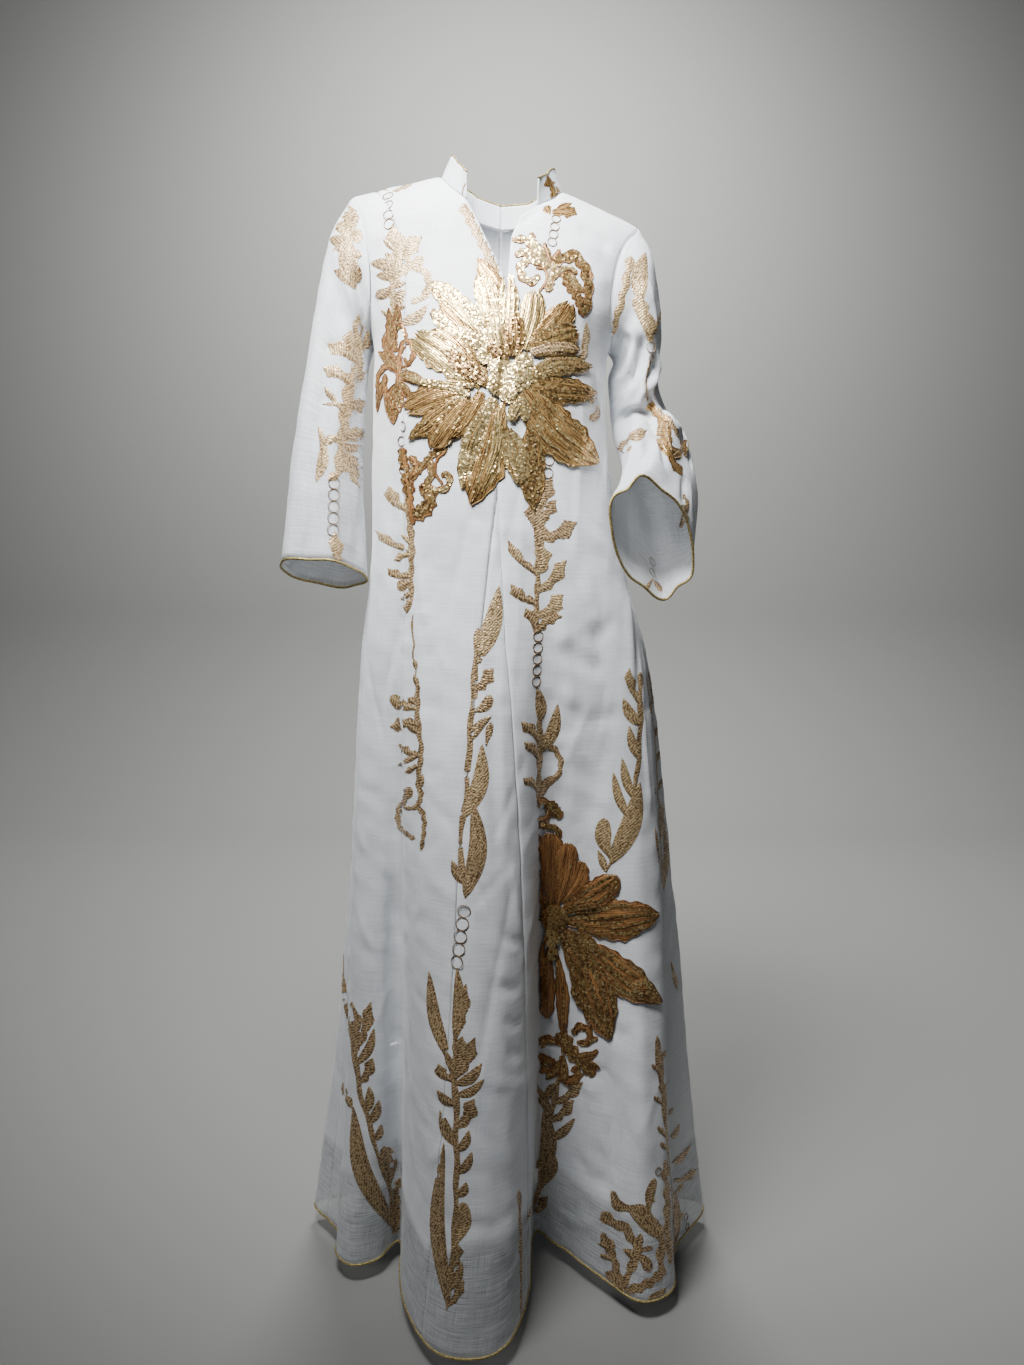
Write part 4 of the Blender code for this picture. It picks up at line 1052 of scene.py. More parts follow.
@dataclass
class Bodice:
    """The panels of the front and the back, from the hem to the shoulders."""

    finishes: Finishes
    sight: Sight
    finer: int = 5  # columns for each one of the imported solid's
    skirt_rows: int = 176
    yoke_rows: int = 40
    yoke_crowding: float = 1.5  # above 1, so that its rows lie closer at the shoulder
    seam_depth: float = 0.0011
    seam_width: float = 0.0030
    seen_depth: float = 1.5  # the creases of the photograph are this much deeper than in their table
    small_creases: int = 230
    small_length: Row = (0.05, 0.13)
    small_slope: float = 1.8  # how steeply they run, as a spread
    small_width_mm: Row = (4.5, 7.5)
    small_height_mm: Row = (0.6, 1.4)
    degrees_per_metre: float = 190.0  # a small crease's turn for its length
    sheer_above: float = 0.014  # where the cloth starts to show the lining through, over its edge
    sheer_fade: float = 0.016
    inset_rows: float = 0.85  # as a share of the skirt's
    valley: float = 0.11  # the share of the left front that lies in the pleat
    # Columns: name, first seam, last seam, columns, face (-1 is the front) and side (-1 is the right).
    panels: tuple = (
        ("side_front_right", "side_right", "princess_right", 11, -1, -1),
        ("front_right", "princess_right", "pleat_right", 7, -1, -1),
        ("front_left", "pleat_left", "side_left", 18, -1, 1),
        ("back_left", "side_left", "centre_back", 16, 1, 1),
        ("back_right", "centre_back", "side_right_from_back", 16, 1, -1),
    )
    inset_columns: int = 6
    made: dict[str, Sheeted] = field(default_factory=dict)

    def turns(self, first: str, last: str, heights: Array, columns: int) -> Array:
        """The turn of each column between two seams at each height."""
        share = np.linspace(0, 1, columns * self.finer + 1)[None, :]
        return DressForm.seam_turn(first, heights) * (1 - share) + DressForm.seam_turn(last, heights) * share

    def plain(self, first: str, last: str, columns: int, face: int, side: int) -> tuple[Array, Array]:
        """The uncreased points and normals of a panel between two seams."""
        form = DressForm
        heights = np.linspace(HEM_Z, ARMPIT_Z, self.skirt_rows + 1)[:, None]
        turns = self.turns(first, last, heights, columns)
        low, low_normals = form.skirt_point(turns, heights), form.skirt_normals(turns, heights)
        across = form.across_of(face, side, turns[-1])[None, :]
        rises = 1 - (1 - np.linspace(0, 1, self.yoke_rows + 1)[1:, None]) ** self.yoke_crowding
        high = form.yoke_point(face, side, across, rises)
        high_normals = form.yoke_normals(face, side, across, rises)
        high_normals[-1] = UP
        return np.concatenate([low, high]), unit(np.concatenate([low_normals, high_normals]))

    def inset(self) -> tuple[Array, Array]:
        """The uncreased points and normals of the pleat's inset."""
        rows = int(self.skirt_rows * self.inset_rows)
        heights = np.linspace(HEM_Z, PLEAT_TOP_Z - INSET_POINT_GAP, rows)[:, None]
        turns = self.turns("pleat_right", "pleat_left", heights, self.inset_columns)
        return DressForm.skirt_point(turns, heights), DressForm.skirt_normals(turns, heights)

    def folds(self) -> Folds:
        """The creases of the whole body."""
        found = Folds()
        for row in BODY_CREASES:
            found.add(self.sight.crease(row, "plain_body"), row[6], row[7] * self.seen_depth)
        share = np.linspace(0, 1, CREASE_POINTS)
        for turn0, height0, turn1, height1, width, height in HIDDEN_CREASES:
            turns = turn0 + (turn1 - turn0) * share + 2.0 * np.sin(share * 5.0 + turn0)
            found.add(DressForm.skirt_point(turns, height0 + (height1 - height0) * share), width, height)
        chance = np.random.default_rng(5)
        share = np.linspace(-0.5, 0.5, 6)
        for _ in range(self.small_creases):
            turn, height = chance.uniform(-180, 180), chance.uniform(HEM_Z + 0.04, ARMPIT_Z - 0.03)
            slope, length = chance.normal(0, self.small_slope), chance.uniform(*self.small_length)
            turns = turn + share * length * self.degrees_per_metre
            line = DressForm.skirt_point(turns, height + share * length * slope)
            width, sign = chance.uniform(*self.small_width_mm), chance.choice([-1, 1])
            found.add(line, width, sign * chance.uniform(*self.small_height_mm))
        return found

    def build(self) -> dict[str, Sheeted]:
        """Makes the panels.

        Returns:
            The shell of each panel by its name.
        """
        plain = {row[0]: self.plain(*row[1:]) for row in self.panels}
        plain["pleat_inset"] = self.inset()
        self.sight.add("plain_body", *[grid for grid, _ in plain.values()])
        folds = self.folds()
        for name, (points, normals) in plain.items():
            grid = pulled_in(points)
            run = run_along(grid, axis=1)
            nearest = np.minimum(run, run[:, -1:] - run)
            dip = self.seam_depth * np.exp(-((nearest / self.seam_width) ** 2))
            lift = folds.height_at(points) - dip
            lift[-1] = 0.0
            outer = grid + normals * lift[..., None]
            facing = grid_normals(outer, normals)
            facing[-1] = UP
            turns = np.degrees(np.arctan2(grid[..., 0], -grid[..., 1]))
            below = lining_edge(turns) + self.sheer_above - grid[..., 2]
            single = smooth_step(below / self.sheer_fade)
            mesh = shell_mesh(name, outer, outer - facing * SHELL)
            self.made[name] = dressed(name, mesh, self.finishes.cloth, "white_cloth", outer, single)
        self.sight.add("body", *[m.grid for m in self.made.values()])
        left = self.made["front_left"].grid
        self.sight.add("left_front", left[:, int(self.valley * (left.shape[1] - 1)) :])
        return self.made


@dataclass
class Sleeve:
    """A sleeve, from its armhole to its cuff."""

    side: Side
    finishes: Finishes
    sight: Sight
    finer: int = 8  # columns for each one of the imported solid's
    rows: int = 84
    seen_depth: float = 1.6  # the creases of the photograph are this much deeper than in their table
    crease_start: float = 0.05  # the share of its length in which the creases start
    seam_depth: float = 0.0010
    seam_share: float = 0.012  # of its length, the armhole seam's width
    sheer: Row = (0.35, 0.30)  # how sheer it is at the armhole, and how much more at the cuff
    cuff_drop: float = 0.8  # radii of the edging from the cuff to its middle

    @property
    def word(self) -> str:
        """The side's name in the names of pieces."""
        return self.side.name.lower()

    def folds(self, grid: Array) -> Folds:
        """The creases of the sleeve."""
        found = Folds()
        for row in SLEEVE_LEFT_CREASES if self.side is Side.LEFT else SLEEVE_RIGHT_CREASES:
            found.add(self.sight.crease(row, f"plain_sleeve_{self.word}"), row[6], row[7] * self.seen_depth)
        last_row, columns = grid.shape[0] - 1, grid.shape[1]
        share = np.linspace(0, 1, CREASE_POINTS)
        for column0, row0, column1, row1, width, height in SLEEVE_HIDDEN[self.side]:
            c = ((column0 + (column1 - column0) * share) * columns).astype(int) % columns
            r = ((row0 + (row1 - row0) * share) * last_row).astype(int)
            found.add(grid[r, c], width, height)
        return found

    def build(self) -> Sheeted:
        """Makes the sleeve.

        Returns:
            Its shell.
        """
        name, outwards = f"sleeve_{self.word}", slice(None, None, -self.side.value)
        knots = np.arange(len(YOKE_RISES))
        rises = np.interp(np.linspace(0, knots[-1], knots[-1] * self.finer + 1), knots, YOKE_RISES)
        grid = DressForm.sleeve_grid(self.side.value, rises, self.rows)
        towards = grid - grid.mean(axis=1, keepdims=True)
        normals = grid_normals(grid, towards, round_about=True)
        self.sight.add(f"plain_{name}", wrapped(grid)[:, outwards])
        along = np.linspace(0, 1, grid.shape[0])[:, None]
        lift = self.folds(grid).height_at(grid) * smooth_step(along / self.crease_start)
        lift = lift - self.seam_depth * np.exp(-((along / self.seam_share) ** 2))
        outer = grid + normals * lift[..., None]
        facing = grid_normals(outer, towards, round_about=True)
        facing[0] = DressForm.armhole_ring(self.side.value, rises)[1]
        mesh = shell_mesh(name, outer, outer - facing * SHELL, round_about=True)
        self.sight.add(name, wrapped(outer)[:, outwards])
        single = np.broadcast_to(self.sheer[0] + self.sheer[1] * along, grid.shape[:2])
        return dressed(name, mesh, self.finishes.cloth, "white_cloth", outer, single, round_about=True)

    def cuff_path(self, shell: Sheeted) -> Array:
        """The line that the cuff's edging follows."""
        edge = shell.grid[-1]
        outward = unit(edge - edge.mean(axis=0))
        below = unit(np.cross(slope_of(edge, 0, closed=True), outward))
        below = below * np.sign(np.sum(below * (edge - shell.grid[-3])))
        return edge - outward * SHELL / 2 + below * (PIPING_RADIUS * self.cuff_drop + CUFF_PIPING_GAP)


@dataclass
class Collar:
    """Half of the stand collar, on the neckline from the slit to the middle of the back."""

    side: Side
    finishes: Finishes
    sight: Sight
    steps: int = 26
    rows: int = 12
    wave: float = 0.0012  # how far its upper edge waves in and out
    wave_radians: float = 19.0  # of that wave from end to end
    smoothing: int = 3  # how many times the normals are evened out along the neckline
    sheer: float = 0.1

    def build(self) -> tuple[Sheeted, Array]:
        """Makes half of the collar.

        Returns:
            Its shell, and the line that its edging follows.
        """
        form, side = DressForm, self.side.value
        word = "left" if side > 0 else "right"
        rises = np.linspace(COLLAR_FOOT_RISE, 1.0, self.steps)
        front, back = (form.yoke_point(face, side, 0.0, rises) for face in (-1, 1))
        front_normals, back_normals = (form.yoke_normals(face, side, 0.0, rises) for face in (-1, 1))
        front_normals[-1] = back_normals[-1] = UP
        base = np.concatenate([front, back[-2::-1]])
        normals = np.concatenate([front_normals, back_normals[-2::-1]])
        for _ in range(self.smoothing):
            normals[1:-1] = unit(normals[:-2] + normals[1:-1] * 2 + normals[2:])
        base[-1, 0] += side * SEAM_GAP / 2
        normals[-1, 0] = 0.0
        normals = unit(normals)
        along = unit(np.gradient(base, axis=0))
        along[-1] = (-side, 0.0, 0.0)
        inward = unit(np.cross(normals, along)) * side
        lean = COLLAR_LEAN * smooth_step(np.linspace(0, COLLAR_LEAN_STEPS, len(base)))[:, None]
        start = base + inward * SEAM_GAP - normals * CLOTH
        rise_way = unit(normals * COLLAR_ALONG_CLOTH + COLLAR_UPRIGHT + inward * lean)
        rows = np.linspace(0, COLLAR_HEIGHT, self.rows + 1)[:, None, None]
        share = rows / COLLAR_HEIGHT
        outer = start[None] + rise_way[None] * rows
        way_in = unit(inward - rise_way * np.sum(inward * rise_way, axis=-1, keepdims=True))
        run = np.linspace(0, 1, len(base))[None, :, None]
        wave = self.wave * np.sin(run * self.wave_radians + side) * share * smooth_step(run / 0.1)
        outer = outer + way_in[None] * wave
        inner = outer + way_in[None] * SHELL
        name = f"collar_{word}"
        mesh = shell_mesh(name, outer, inner)
        self.sight.add(name, outer)
        edge = (outer[-1] + inner[-1]) / 2 + rise_way * (COLLAR_EDGE_RADIUS + SEAM_GAP)
        edge[-1, 0] += side * SEAM_GAP
        single = np.full(outer.shape[:2], self.sheer)
        return dressed(name, mesh, self.finishes.cloth, "white_cloth", outer, single), edge


@dataclass
class Lining:
    """The opaque layer under the sheer skirt, as far as it shows."""

    finishes: Finishes
    columns: int = 420
    rows: int = 44
    depth: float = 0.0022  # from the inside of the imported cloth

    def build(self) -> Sheeted:
        """Makes the lining.

        Returns:
            Its shell.
        """
        form = DressForm
        turns = np.linspace(-180, 180, self.columns, endpoint=False)[None, :]
        low = lining_edge(turns)
        share = np.linspace(0, 1, self.rows + 1)[:, None]
        heights = low * (1 - share) + LINING_TOP_Z * share
        points, normals = form.skirt_point(turns, heights), form.skirt_normals(turns, heights)
        outer = points - normals * (CLOTH + self.depth)
        mesh = shell_mesh("lining", outer, outer - normals * SHELL, round_about=True)
        return dressed("lining", mesh, self.finishes.lining, "white_lining", outer, round_about=True)


@dataclass
class Edging:
    """The rolled olive-gold edging of the hem, cuffs and collar."""

    finishes: Finishes
    sides: int = 10
    hem_drop: float = 0.9  # radii of the edging from the hem to its middle

    def along(self, node: str, path: Array, radius: float, closed: bool = True) -> bpy.types.Object:
        """Makes the edging that stands for a node, along a path.

        Args:
            node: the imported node's name.
            path: the points that it follows.
            radius: its radius in metres.
            closed: whether its end joins its start.

        Returns:
            The new piece.
        """
        mesh = cord_mesh(node, path, radius, self.sides, closed)
        obj = linked(node + "_rolled", mesh, self.finishes.piping)
        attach(obj, "root")
        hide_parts(node)
        length = run_along(np.concatenate([path, path[:1]]) if closed else path)[-1]
        log.info("%s: a cord %.3f m long", node, length)
        return obj

    def hem_path(self, panels: dict[str, Sheeted]) -> Array:
        """The line round the hem, through the lower edges of the panels."""
        order = ("side_front_right", "front_right", "pleat_inset", "front_left", "back_left", "back_right")
        loop = np.concatenate([panels[name].grid[0][:-1] for name in order])
        loop[:, 2] = HEM_Z - PIPING_RADIUS * self.hem_drop
        return loop


@dataclass
class Studio:
    """The pale floor and backdrop, soft lights and the photograph's camera."""

    sight: Sight
    floor_z: float = -1.470
    lens: float = 27.03
    sensor: float = 36.0
    paper: Row = (0.25, 0.25, 0.24, 1.0)
    half_width: float = 3.5
    front_y: float = -3.2
    flat_to_y: float = 2.4
    curve_radius: float = 0.8
    curve_turns: Row = (0.1, 1.57)  # radians from where the curve starts to where the paper stands
    height: float = 3.4
    sky: Row = (0.93, 0.96, 1.0, 1.0)
    sky_strength: float = 0.045
    # Columns: name, place, the point that it is turned to, size, power, spread in degrees.
    lamps: tuple = (
        ("ceiling", (-0.26, -0.62, 0.58), (0.0, 0.0, -0.12), 0.6, 15.5, 80.0),
        ("wall", (0.0, 1.5, 1.6), (0.0, 3.2, -0.4), 1.2, 165.0, 180.0),
        ("window", (-1.7, -1.0, 0.15), (0.0, 0.0, -0.7), 0.9, 1.8, 180.0),
        ("fill", (1.7, -1.9, -0.5), (0.0, 0.0, -0.9), 1.4, 0.4, 180.0),
    )

    def sweep(self) -> None:
        """Makes the floor and the backdrop as one sheet of paper that turns up behind."""
        radius, turns = self.curve_radius, np.linspace(*self.curve_turns, 12)
        curve = [(self.flat_to_y + radius * math.sin(a), radius - radius * math.cos(a)) for a in turns]
        top = (self.flat_to_y + radius, self.height)
        profile = [(self.front_y, 0.0), (self.flat_to_y, 0.0), *curve, top]
        sides = (-self.half_width, self.half_width)
        grid = np.array([[(x, y, z + self.floor_z) for x in sides] for y, z in profile])
        faces = np.stack([r * 2 + c for r, c in quads(len(profile), 2)], axis=1)
        paper = Shading("studio_paper", Base_Color=self.paper, Roughness=0.9).made
        obj = linked("studio_paper", mesh_of("studio_paper", grid, faces), paper)

    def placed(self, data: bpy.types.ID, place: Row, turn: Sequence[float]) -> bpy.types.Object:
        """Puts a lamp or a camera in the scene."""
        obj = bpy.data.objects.new(data.name, data)
        obj.location, obj.rotation_euler = place, turn
        bpy.context.scene.collection.objects.link(obj)
        return obj

    def build(self) -> None:
        """Makes the sweep, the lights and the camera."""
        self.sweep()
        world = bpy.data.worlds.new("studio")
        world.use_nodes = True
        back = world.node_tree.nodes["Background"]
        back.inputs["Color"].default_value = self.sky
        back.inputs["Strength"].default_value = self.sky_strength
        bpy.context.scene.world = world
        for name, place, at, size, power, spread in self.lamps:
            lamp = bpy.data.lights.new(name, "AREA")
            lamp.shape, lamp.size, lamp.energy, lamp.spread = "DISK", size, power, math.radians(spread)
            self.placed(lamp, place, (Vector(at) - Vector(place)).to_track_quat("-Z", "Y").to_euler())
        camera = bpy.data.cameras.new("camera")
        camera.lens, camera.sensor_width, camera.sensor_fit = self.lens, self.sensor, "AUTO"
        turn = (math.radians(90) - self.sight.pitch, 0.0, 0.0)
        bpy.context.scene.camera = self.placed(camera, self.sight.place, turn)


# Appliques. Places are pixels of the photograph, and widths are in its pixels too.
# Columns: base x and y, tip x and y, half width, bend, how blunt the tip is, layer, share of
# sequins, their tone, thread.
CHEST_PETALS = (
    # upper left
    (490, 338, 430, 282, 11, 2, 0.8, 1, 0.95, 0.78, GOLD),
    (480, 333, 437, 293, 7, 1, 0.6, 2, 0.00, 0.90, GOLD),
    (470, 336, 439, 304, 5, 0, 0.8, 2, 0.05, 0.30, BRONZE),
    (492, 350, 430, 311, 9, -2, 0.8, 1, 0.95, 0.75, GOLD),
    # top
    (505, 292, 477, 259, 9, -2, 0.1, 1, 0.00, 0.30, BRONZE),
    (500, 350, 480, 272, 14, 3, 0.9, 2, 0.95, 0.80, GOLD),
    (510, 345, 510, 275, 10, -2, 0.9, 3, 0.95, 0.88, GOLD),
    # the next two petals, dark bronze with dark sequins, are painted shade of the hollow under the top petals
    (514, 357, 513, 316, 11, 0, 0.9, 4, 0.95, 0.16, BRONZE),
    (506, 360, 488, 343, 8, 0, 0.9, 4, 0.95, 0.14, BRONZE),
    # upper right
    (524, 350, 535, 290, 13, 2, 1.0, 1, 0.08, 0.95, GOLD),
    (530, 345, 570, 302, 14, 4, 0.8, 2, 0.20, 0.55, BRONZE),
    (532, 345, 577, 330, 15, 0, 0.9, 3, 0.60, 0.48, BRONZE),
    (530, 353, 579, 351, 8, -4, 0.7, 4, 0.15, 0.70, TAN),
    # right
    (526, 377, 592, 366, 10, -6, 0.3, 2, 0.90, 0.58, TAN),
    (525, 384, 597, 393, 13, 2, 0.2, 1, 0.55, 0.45, BRONZE),
    (523, 391, 598, 464, 23, 7, 0.2, 2, 0.36, 0.80, BRONZE),
    # below
    (533, 424, 534, 512, 13, 2, 0.0, 1, 0.75, 0.36, BRONZE),
    (506, 430, 521, 486, 13, -3, 0.4, 2, 0.78, 0.93, BRONZE),
    (521, 398, 509, 422, 6, 0, 0.5, 3, 1.00, 0.93, GOLD),
    (523, 398, 525, 423, 5, 0, 0.5, 3, 1.00, 0.93, GOLD),
    (495, 401, 470, 505, 24, -2, 0.1, 1, 0.30, 0.86, BRONZE),
    (499, 408, 482, 492, 7, -6, 0.1, 2, 0.10, 0.92, GOLD),
    (494, 398, 462, 490, 10, 6, 0.3, 2, 0.70, 0.92, BRONZE),
    # lower left
    (482, 392, 452, 440, 9, -2, 0.3, 1, 0.05, 0.60, BRONZE),
    (470, 390, 406, 412, 15, 5, 0.9, 1, 0.14, 0.45, BRONZE),
    (462, 396, 409, 440, 10, -2, 0.1, 2, 0.40, 0.50, BRONZE),
    (468, 400, 432, 450, 13, 2, 0.8, 3, 0.12, 0.60, BRONZE),
    # left
    (484, 382, 415, 333, 20, 2, 0.9, 1, 0.25, 0.92, GOLD),
    (488, 384, 446, 349, 9, -2, 0.6, 3, 0.90, 0.15, BRONZE),
    (480, 372, 446, 330, 5, 3, 0.5, 2, 0.20, 0.40, BRONZE),
    (474, 386, 404, 378, 4, -3, 0.2, 3, 0.90, 0.62, TAN),
    (470, 396, 430, 384, 4, 4, 0.2, 3, 1.00, 0.86, GOLD),
)
SKIRT_PETALS = (
    (546, 918, 533, 903, 17, 0, 1.0, 0, 0.60, 0.02, BROWN),
    (543, 905, 533, 866, 8, -3, 0.4, 1, 0.20, 0.30, BROWN),
    (549, 908, 551, 832, 14, 2, 0.9, 1, 0.10, 0.46, BROWN),
    (557, 906, 568, 842, 12, 2, 0.9, 2, 0.10, 0.46, BROWN),
    (563, 902, 583, 861, 11, 2, 0.8, 1, 0.06, 0.46, BROWN),
    (563, 909, 619, 876, 15, 4, 0.5, 2, 0.40, 0.42, BROWN),
    (560, 914, 603, 903, 7, -3, 0.6, 3, 0.60, 0.42, BROWN),
    (566, 921, 659, 914, 20, 3, 0.3, 1, 0.40, 0.44, BROWN),
    (565, 929, 661, 1003, 18, 3, 0.2, 2, 0.55, 0.50, BROWN),
    (562, 932, 611, 1039, 20, -5, 0.2, 3, 0.65, 0.34, BROWN),
    (556, 946, 563, 1034, 6, -3, 0.6, 1, 0.20, 0.46, BROWN),
    (549, 946, 546, 1018, 10, 2, 0.8, 1, 0.10, 0.46, BROWN),
    (542, 942, 521, 1029, 8, -7, 0.3, 2, 0.50, 0.40, BROWN),
    (576, 930, 587, 961, 6, 2, 0.5, 4, 0.95, 0.45, BROWN),
    (579, 928, 597, 951, 6, 0, 0.5, 4, 0.95, 0.50, BROWN),
)
# The places along a petal, from 0 to 1, where its width is given.
PETAL_PLACES: Row = (0.0, 0.22, 0.52, 0.78, 0.92, 1.0)
# Columns: middle x and y, radius, layer, share of sequins, their tone.
HEARTS = {
    "chest_flower": (
        (515, 378, 16, 4, 1.0, 0.92), (499, 384, 12, 4, 1.0, 0.82), (508, 394, 9, 3, 1.0, 0.86),
        (484, 357, 8, 4, 0.9, 0.80), (500, 368, 12, 3, 0.9, 0.76), (524, 362, 9, 3, 0.9, 0.88),
    ),
    "skirt_flower": (
        # the clusters at (641, 986), (551, 938) and (553, 952) are pale sequins placed as painted glints
        (641, 986, 9, 5, 0.6, 0.92), (553, 918, 15, 4, 0.9, 0.55), (551, 938, 10, 5, 1.0, 0.86),
        (553, 952, 7, 5, 0.9, 0.74),
    ),
}

# For each cut and thread, columns: base x and y, tip x and y, half width, bend.
BODY_LEAVES = {
    (TOOTHED, CHAMPAGNE): (
        (398, 280, 393, 224, 10, 5), (402, 274, 422, 236, 8, -4), (409, 512, 389, 486, 7, -4),
        (406, 552, 375, 530, 4.5, -2), (410, 556, 394, 560, 4, 2), (532, 572, 543, 545, 9, 3),
        (538, 592, 566, 560, 7, 4), (538, 616, 563, 594, 8, 4), (636, 706, 629, 668, 5, -3),
    ),
    (LEAF, CHAMPAGNE): (
        (394, 250, 383, 239, 3, 0), (405, 328, 428, 305, 6, 5), (582, 352, 586, 322, 4, 2),
        (576, 362, 587, 346, 4, 2), (588, 402, 597, 398, 3, 0), (409, 544, 401, 534, 2.5, 0),
        (478, 662, 499, 586, 10, 4), (464, 818, 482, 744, 9, 7), (636, 726, 623, 698, 6, -3),
        (636, 760, 629, 726, 5, -2), (630, 798, 622, 758, 5, -2), (624, 818, 613, 772, 5, -3),
        (612, 866, 640, 782, 11, 5), (603, 870, 598, 850, 4, 0),
    ),
    (LOBE, CHAMPAGNE): (
        (410, 272, 422, 256, 6, 2), (415, 708, 390, 696, 7, -3), (456, 1248, 463, 1202, 8, 5),
        (614, 862, 604, 818, 9, -5),
    ),
    (LEAF, TAN): (
        (395, 262, 369, 263, 7, 2), (394, 264, 376, 275, 6, -2), (396, 270, 385, 253, 7, 2),
        (398, 290, 406, 282, 3, 0), (388, 324, 381, 310, 3, 0), (388, 334, 383, 340, 3, 0),
        (406, 572, 398, 578, 2.5, 0), (412, 599, 407, 613, 4.5, 2), (416, 668, 414, 659, 2.5, 0),
        (417, 686, 414, 675, 3, 0), (418, 734, 404, 722, 4, 0), (413, 754, 398, 765, 3, 0),
        (420, 770, 422, 752, 3, 0), (418, 790, 423, 774, 3, 0), (474, 668, 478, 628, 5, 3),
        (474, 742, 491, 716, 5, -3), (466, 898, 473, 800, 10, 8), (463, 885, 452, 860, 5, -2),
        (447, 1060, 429, 971, 7, -5), (456, 1040, 457, 968, 7, 3), (458, 1084, 482, 1063, 6, 4),
        (459, 1096, 484, 1079, 5, 4), (452, 1106, 437, 1090, 5, -3), (452, 1148, 440, 1110, 6, -3),
        (457, 1152, 469, 1130, 5, 3), (456, 1174, 472, 1152, 5, 3), (455, 1196, 466, 1182, 5, 3),
        (448, 1306, 444, 1142, 8, -9), (452, 1290, 462, 1262, 5, 2), (357, 1066, 374, 1028, 5, 4),
        (352, 1108, 343, 1082, 5, -2), (366, 1112, 369, 1086, 5, 2), (371, 1124, 379, 1100, 5, 2),
        (374, 1142, 381, 1124, 4, 2), (390, 1228, 353, 1106, 10, -12), (393, 1236, 398, 1206, 5, 2),
        (541, 722, 537, 688, 6, 2), (542, 752, 558, 704, 7, 4), (538, 800, 560, 774, 5, -5),
        (553, 1082, 545, 1104, 5, 2), (553, 1142, 575, 1118, 5, 3), (541, 1112, 537, 1084, 5, -2),
        (530, 1176, 544, 1108, 9, 5), (650, 712, 648, 672, 4, 2), (654, 738, 658, 706, 4, 2),
        (657, 762, 661, 734, 4, 2), (660, 792, 664, 762, 4, 2), (664, 890, 662, 812, 4, 3),
        (657, 892, 655, 828, 3, 0), (677, 990, 671, 962, 3, 0), (664, 1238, 630, 1213, 9, 3),
        (655, 1201, 645, 1196, 3, 0), (638, 1248, 641, 1233, 4, 0), (636, 1262, 623, 1249, 4, 2),
        (638, 1256, 650, 1259, 2, 0), (614, 1250, 612, 1239, 4, 0), (608, 1248, 598, 1243, 2, 0),
        (622, 1290, 605, 1272, 8, 3), (648, 1298, 666, 1288, 4, 2), (672, 1258, 676, 1192, 8, 3),
        (662, 1086, 656, 1038, 4, 0), (668, 1140, 679, 1124, 4, 2), (672, 1164, 690, 1146, 5, 2),
        (388, 190, 374, 189, 3, 0),
    ),
    (LOBE, TAN): (
        (396, 300, 406, 306, 6, 0), (598, 406, 589, 420, 5, -4), (392, 286, 375, 296, 6, -3),
        (398, 300, 405, 290, 5, 0), (411, 582, 397, 588, 6.5, 0), (416, 704, 408, 698, 4, 0),
        (403, 810, 411, 787, 6, -2), (474, 712, 491, 695, 6, 4), (486, 745, 491, 722, 4, 0),
        (386, 1186, 384, 1146, 9, 3), (548, 1190, 550, 1152, 9, 4), (653, 1214, 655, 1178, 5, -3),
        (636, 1256, 649, 1272, 6, -4),
    ),
    (TOOTHED, TAN): (
        (411, 577, 388, 568, 5, -3), (412, 592, 401, 599, 4, 0), (417, 724, 390, 727, 6.5, 3),
        (416, 756, 399, 744, 4.5, -2), (417, 766, 405, 772, 3.5, 0), (476, 690, 493, 668, 7, 3),
        (458, 1032, 466, 984, 6, 3), (458, 1072, 462, 1036, 8, 3), (460, 1078, 475, 1037, 6, 4),
        (453, 1082, 438, 1064, 6, -3), (458, 1128, 474, 1099, 8, 4), (450, 1268, 457, 1242, 6, 3),
        (451, 1306, 464, 1280, 5, 2), (350, 1056, 352, 1002, 8, 2), (358, 1050, 371, 1002, 6, 4),
        (360, 1082, 373, 1058, 6, 3), (392, 1214, 400, 1178, 7, 2), (536, 508, 552, 478, 8, 3),
        (536, 545, 533, 500, 11, 3), (540, 536, 577, 522, 8, 5), (545, 520, 556, 500, 6, 2),
        (530, 574, 508, 540, 5, -3), (534, 604, 511, 584, 6, -3), (536, 632, 562, 616, 6, -4),
        (534, 632, 526, 608, 6, 2), (538, 745, 521, 722, 6, 3), (536, 762, 524, 742, 5, 3),
        (540, 792, 523, 778, 5, 2), (560, 1104, 583, 1082, 6, 3), (556, 1122, 574, 1100, 6, 3),
        (528, 1216, 538, 1160, 7, 3), (536, 1220, 548, 1196, 5, 2), (658, 838, 655, 788, 7, 3),
        (638, 1251, 653, 1248, 3, 0), (613, 1261, 600, 1254, 3, 0), (674, 1180, 698, 1168, 5, 4),
        (659, 1062, 666, 1050, 3, 0), (660, 1074, 652, 1064, 2.5, 0), (662, 1092, 669, 1080, 3, 0),
        (663, 1106, 654, 1096, 3, 0), (665, 1120, 673, 1108, 3, 0), (667, 1138, 658, 1126, 3, 0),
        (669, 1152, 661, 1142, 3, 0), (673, 1196, 684, 1184, 3.5, 0), (674, 1212, 667, 1200, 3, 0),
        (674, 1226, 684, 1212, 3.5, 0), (665, 1122, 661, 1078, 4, 2), (393, 191, 412, 185, 4, 0),
    ),
    (LEAF, BRONZE): (
        (348, 1016, 344, 944, 6, -3), (556, 210, 572, 203, 4, 0),
    ),
    (TOOTHED, BRONZE): (
        (552, 212, 577, 215, 6, -2),
    ),
    (LOBE, BRONZE): (
        (550, 214, 545, 206, 5, 0),
    ),
}
